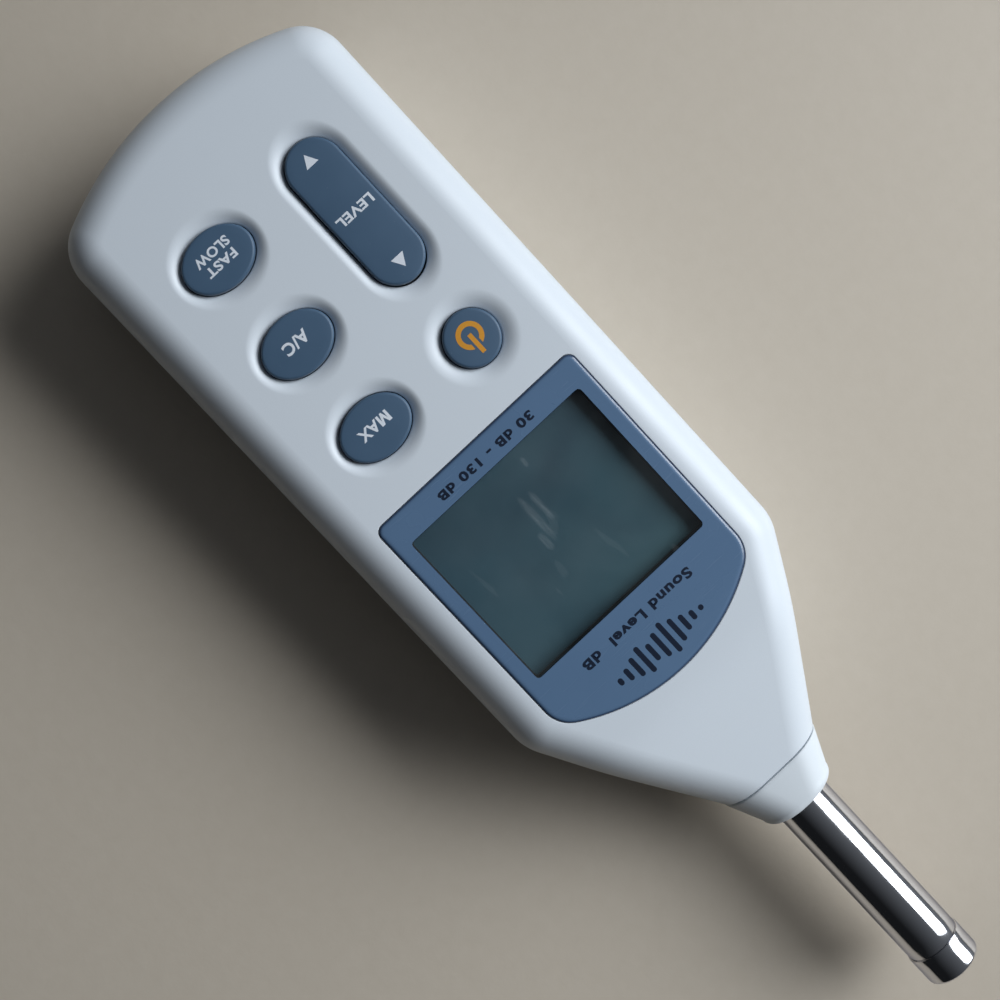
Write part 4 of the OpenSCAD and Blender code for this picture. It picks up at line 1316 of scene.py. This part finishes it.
def socket_trim():
    """Plated ring in the output jack and centre pin in the power jack."""
    ring = lathe([(1.8, 0), (2.6, 0), (2.85, 0.12), (2.85, 0.3), (1.8, 0.3)])
    pin = lathe([(0, 0), (0.55, 0), (0.9, 0.25), (1.0, 0.6), (1.0, 9.2), (0, 9.2)], 32, closed=False)
    for name, node, trim, depth in (("output_jack_ring", "output_jack", ring, -0.09),
                                    ("dc_jack_pin", "dc_jack", pin, 1.2)):
        middle, half = middle_and_half(node)
        swung(trim, (middle.x - half.x + depth, middle.y, middle.z), "x")
        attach(piece(name, trim, NICKEL), "housing")


def microphone_lead():
    """Cable from the preamplifier, out of the tube and down to the main board."""
    low, high = box("mic_cable")
    back = box("mic_tube")[0].y
    start = (0, high.y, PARTING)
    end = (0, low.y + 0.4, box("main_board")[0].z - 0.9)
    path = bezier([start, (0, back - 5, PARTING), (0, back - 14, PARTING), end], 40)
    stand_in(piece("mic_lead", wire(path, high.x - 0.02, 16), GREY), "mic_cable")


# ---- CAD nodes that keep their shape -------------------------------------------------------

# Material and edge softening, in millimetres
CARRIED = {
    "lcd_frame": (BLACK, 0.25), "lcd_backlight": (WHITE, 0.3), "zebra_strips": (ELASTOMER, 0.2),
    "main_board": (BOARD, 0.1), "microcontroller": (BLACK, 0.06), "board_parts": (BLACK, 0.2),
    "board_screws": (STEEL, 0.15), "keypad_sheet": (SLATE, 0.2), "rocker_pivot": (ACETAL, 0.1),
    "power_contact": (CARBON, 0.15), "max_contact": (CARBON, 0.15), "weighting_contact": (CARBON, 0.15),
    "response_contact": (CARBON, 0.15), "level_contacts": (CARBON, 0.15), "tube_nut": (STEEL, 0.3),
    "mic_capsule": (STEEL, 0.3), "capsule_ring": (BLACK, 0.1), "preamp_board": (BOARD, 0.1),
    "battery_plates": (NICKEL, 0.08), "battery_wires": (RED, 0.0), "case_screws": (STEEL, 0.12),
    "output_jack": (BLACK, 0.2), "dc_jack": (BLACK, 0.2), "cal_trimmer": (TRIMMER, 0.2),
    "cal_rotor": (BRASS, 0.08),
}


def carry_over():
    """Gives each CAD node that stays a node material and softened edges."""
    for name, (material, edge) in CARRIED.items():
        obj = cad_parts[name]
        obj.data.materials.clear()
        obj.data.materials.append(material)
        if edge:
            weld = obj.modifiers.new("weld", "WELD")
            weld.merge_threshold = 1e-6
            soften = obj.modifiers.new("soften", "BEVEL")
            soften.width = edge * MM
            soften.segments = 2
            soften.limit_method = "ANGLE"
            soften.angle_limit = math.radians(40)


# ---- stage ---------------------------------------------------------------------------------


def floor():
    m = Mesh()
    steps = 48
    rings = [m.flat_ring(arc((0, 0), r, 0, 360 * (steps - 1) / steps, steps - 1), 0) for r in (400, 1600)]
    m.skin(rings)
    m.cap(rings[0])
    obj = piece("floor", m)
    obj.location.z = -0.0001
    n = new_material("floor")
    grain = n.noise(0.25, 5, 0.6)
    base = n.mix(grain, (0.54, 0.47, 0.38), (0.58, 0.51, 0.42))
    obj.data.materials.append(n.surface(Base_Color=base, Roughness=0.6, Normal=n.bump(grain, 0.05)))


def set_up(data, name, location, rotation):
    obj = bpy.data.objects.new(name, data)
    bpy.context.scene.collection.objects.link(obj)
    obj.location = location
    obj.rotation_mode = "QUATERNION"
    obj.rotation_quaternion = rotation
    return obj


def light():
    """One soft window-like light from the reader's left."""
    data = bpy.data.lights.new("window_light", "AREA")
    data.shape = "RECTANGLE"
    data.size, data.size_y = 0.75, 0.5
    data.energy = 1.95
    data.spread = math.radians(75)
    data.color = (0.90, 0.95, 1.0)
    location = Vector((-0.57, 0.25, 0.45))
    target = Vector((0, 0.10, 0.02))
    set_up(data, "window_light", location, (target - location).to_track_quat("-Z", "Y"))


def room():
    """Faint cool light that fades away from the window, and a plain pale backdrop for the camera."""
    n = Nodes(bpy.data.worlds.new("room"))
    bpy.context.scene.world = n.owner
    across = n.axes(n.node("ShaderNodeTexCoord").outputs["Generated"])[0]
    faint = {"Color": (0.70, 0.76, 0.85), "Strength": n.ramp(across, -0.7, 0.7, 0.17, 0.012)}
    glow = n.node("ShaderNodeBackground", faint).outputs[0]
    backdrop = n.node("ShaderNodeBackground", {"Color": (0.50, 0.50, 0.49)}).outputs[0]
    n.finish(n.blend(n.node("ShaderNodeLightPath").outputs["Is Camera Ray"], glow, backdrop))


def camera():
    """Camera above the face, a little towards the tail, its picture turned so the nose points down right."""
    location = Vector((0.00787, -0.00706, 0.32204))
    target = Vector((0.00389, 0.01802, TOP * MM))
    picture_top = math.radians(-132.9)
    back = (location - target).normalized()
    right = Vector((math.cos(picture_top), math.sin(picture_top), 0)).cross(back).normalized()
    turn = Matrix((right, back.cross(right), back)).transposed().to_quaternion()
    data = bpy.data.cameras.new("camera")
    data.lens = 52.2
    data.sensor_width = 36
    data.clip_start = 0.01
    bpy.context.scene.camera = set_up(data, "camera", location, turn)


front_shell()
rear_shell()
battery_door()
display_panel()
window_pane()
lcd_cell()
gasket()
for key in KEYS:
    key_cap(key)
legends()
panel_markings()
collar()
seal_ring()
microphone_tube()
microphone_cap()
microphone_grid()
battery_cells()
contact_springs()
threaded_insert()
socket_trim()
microphone_lead()
carry_over()
floor()
light()
room()
camera()
bpy.context.scene.view_settings.view_transform = "Standard"
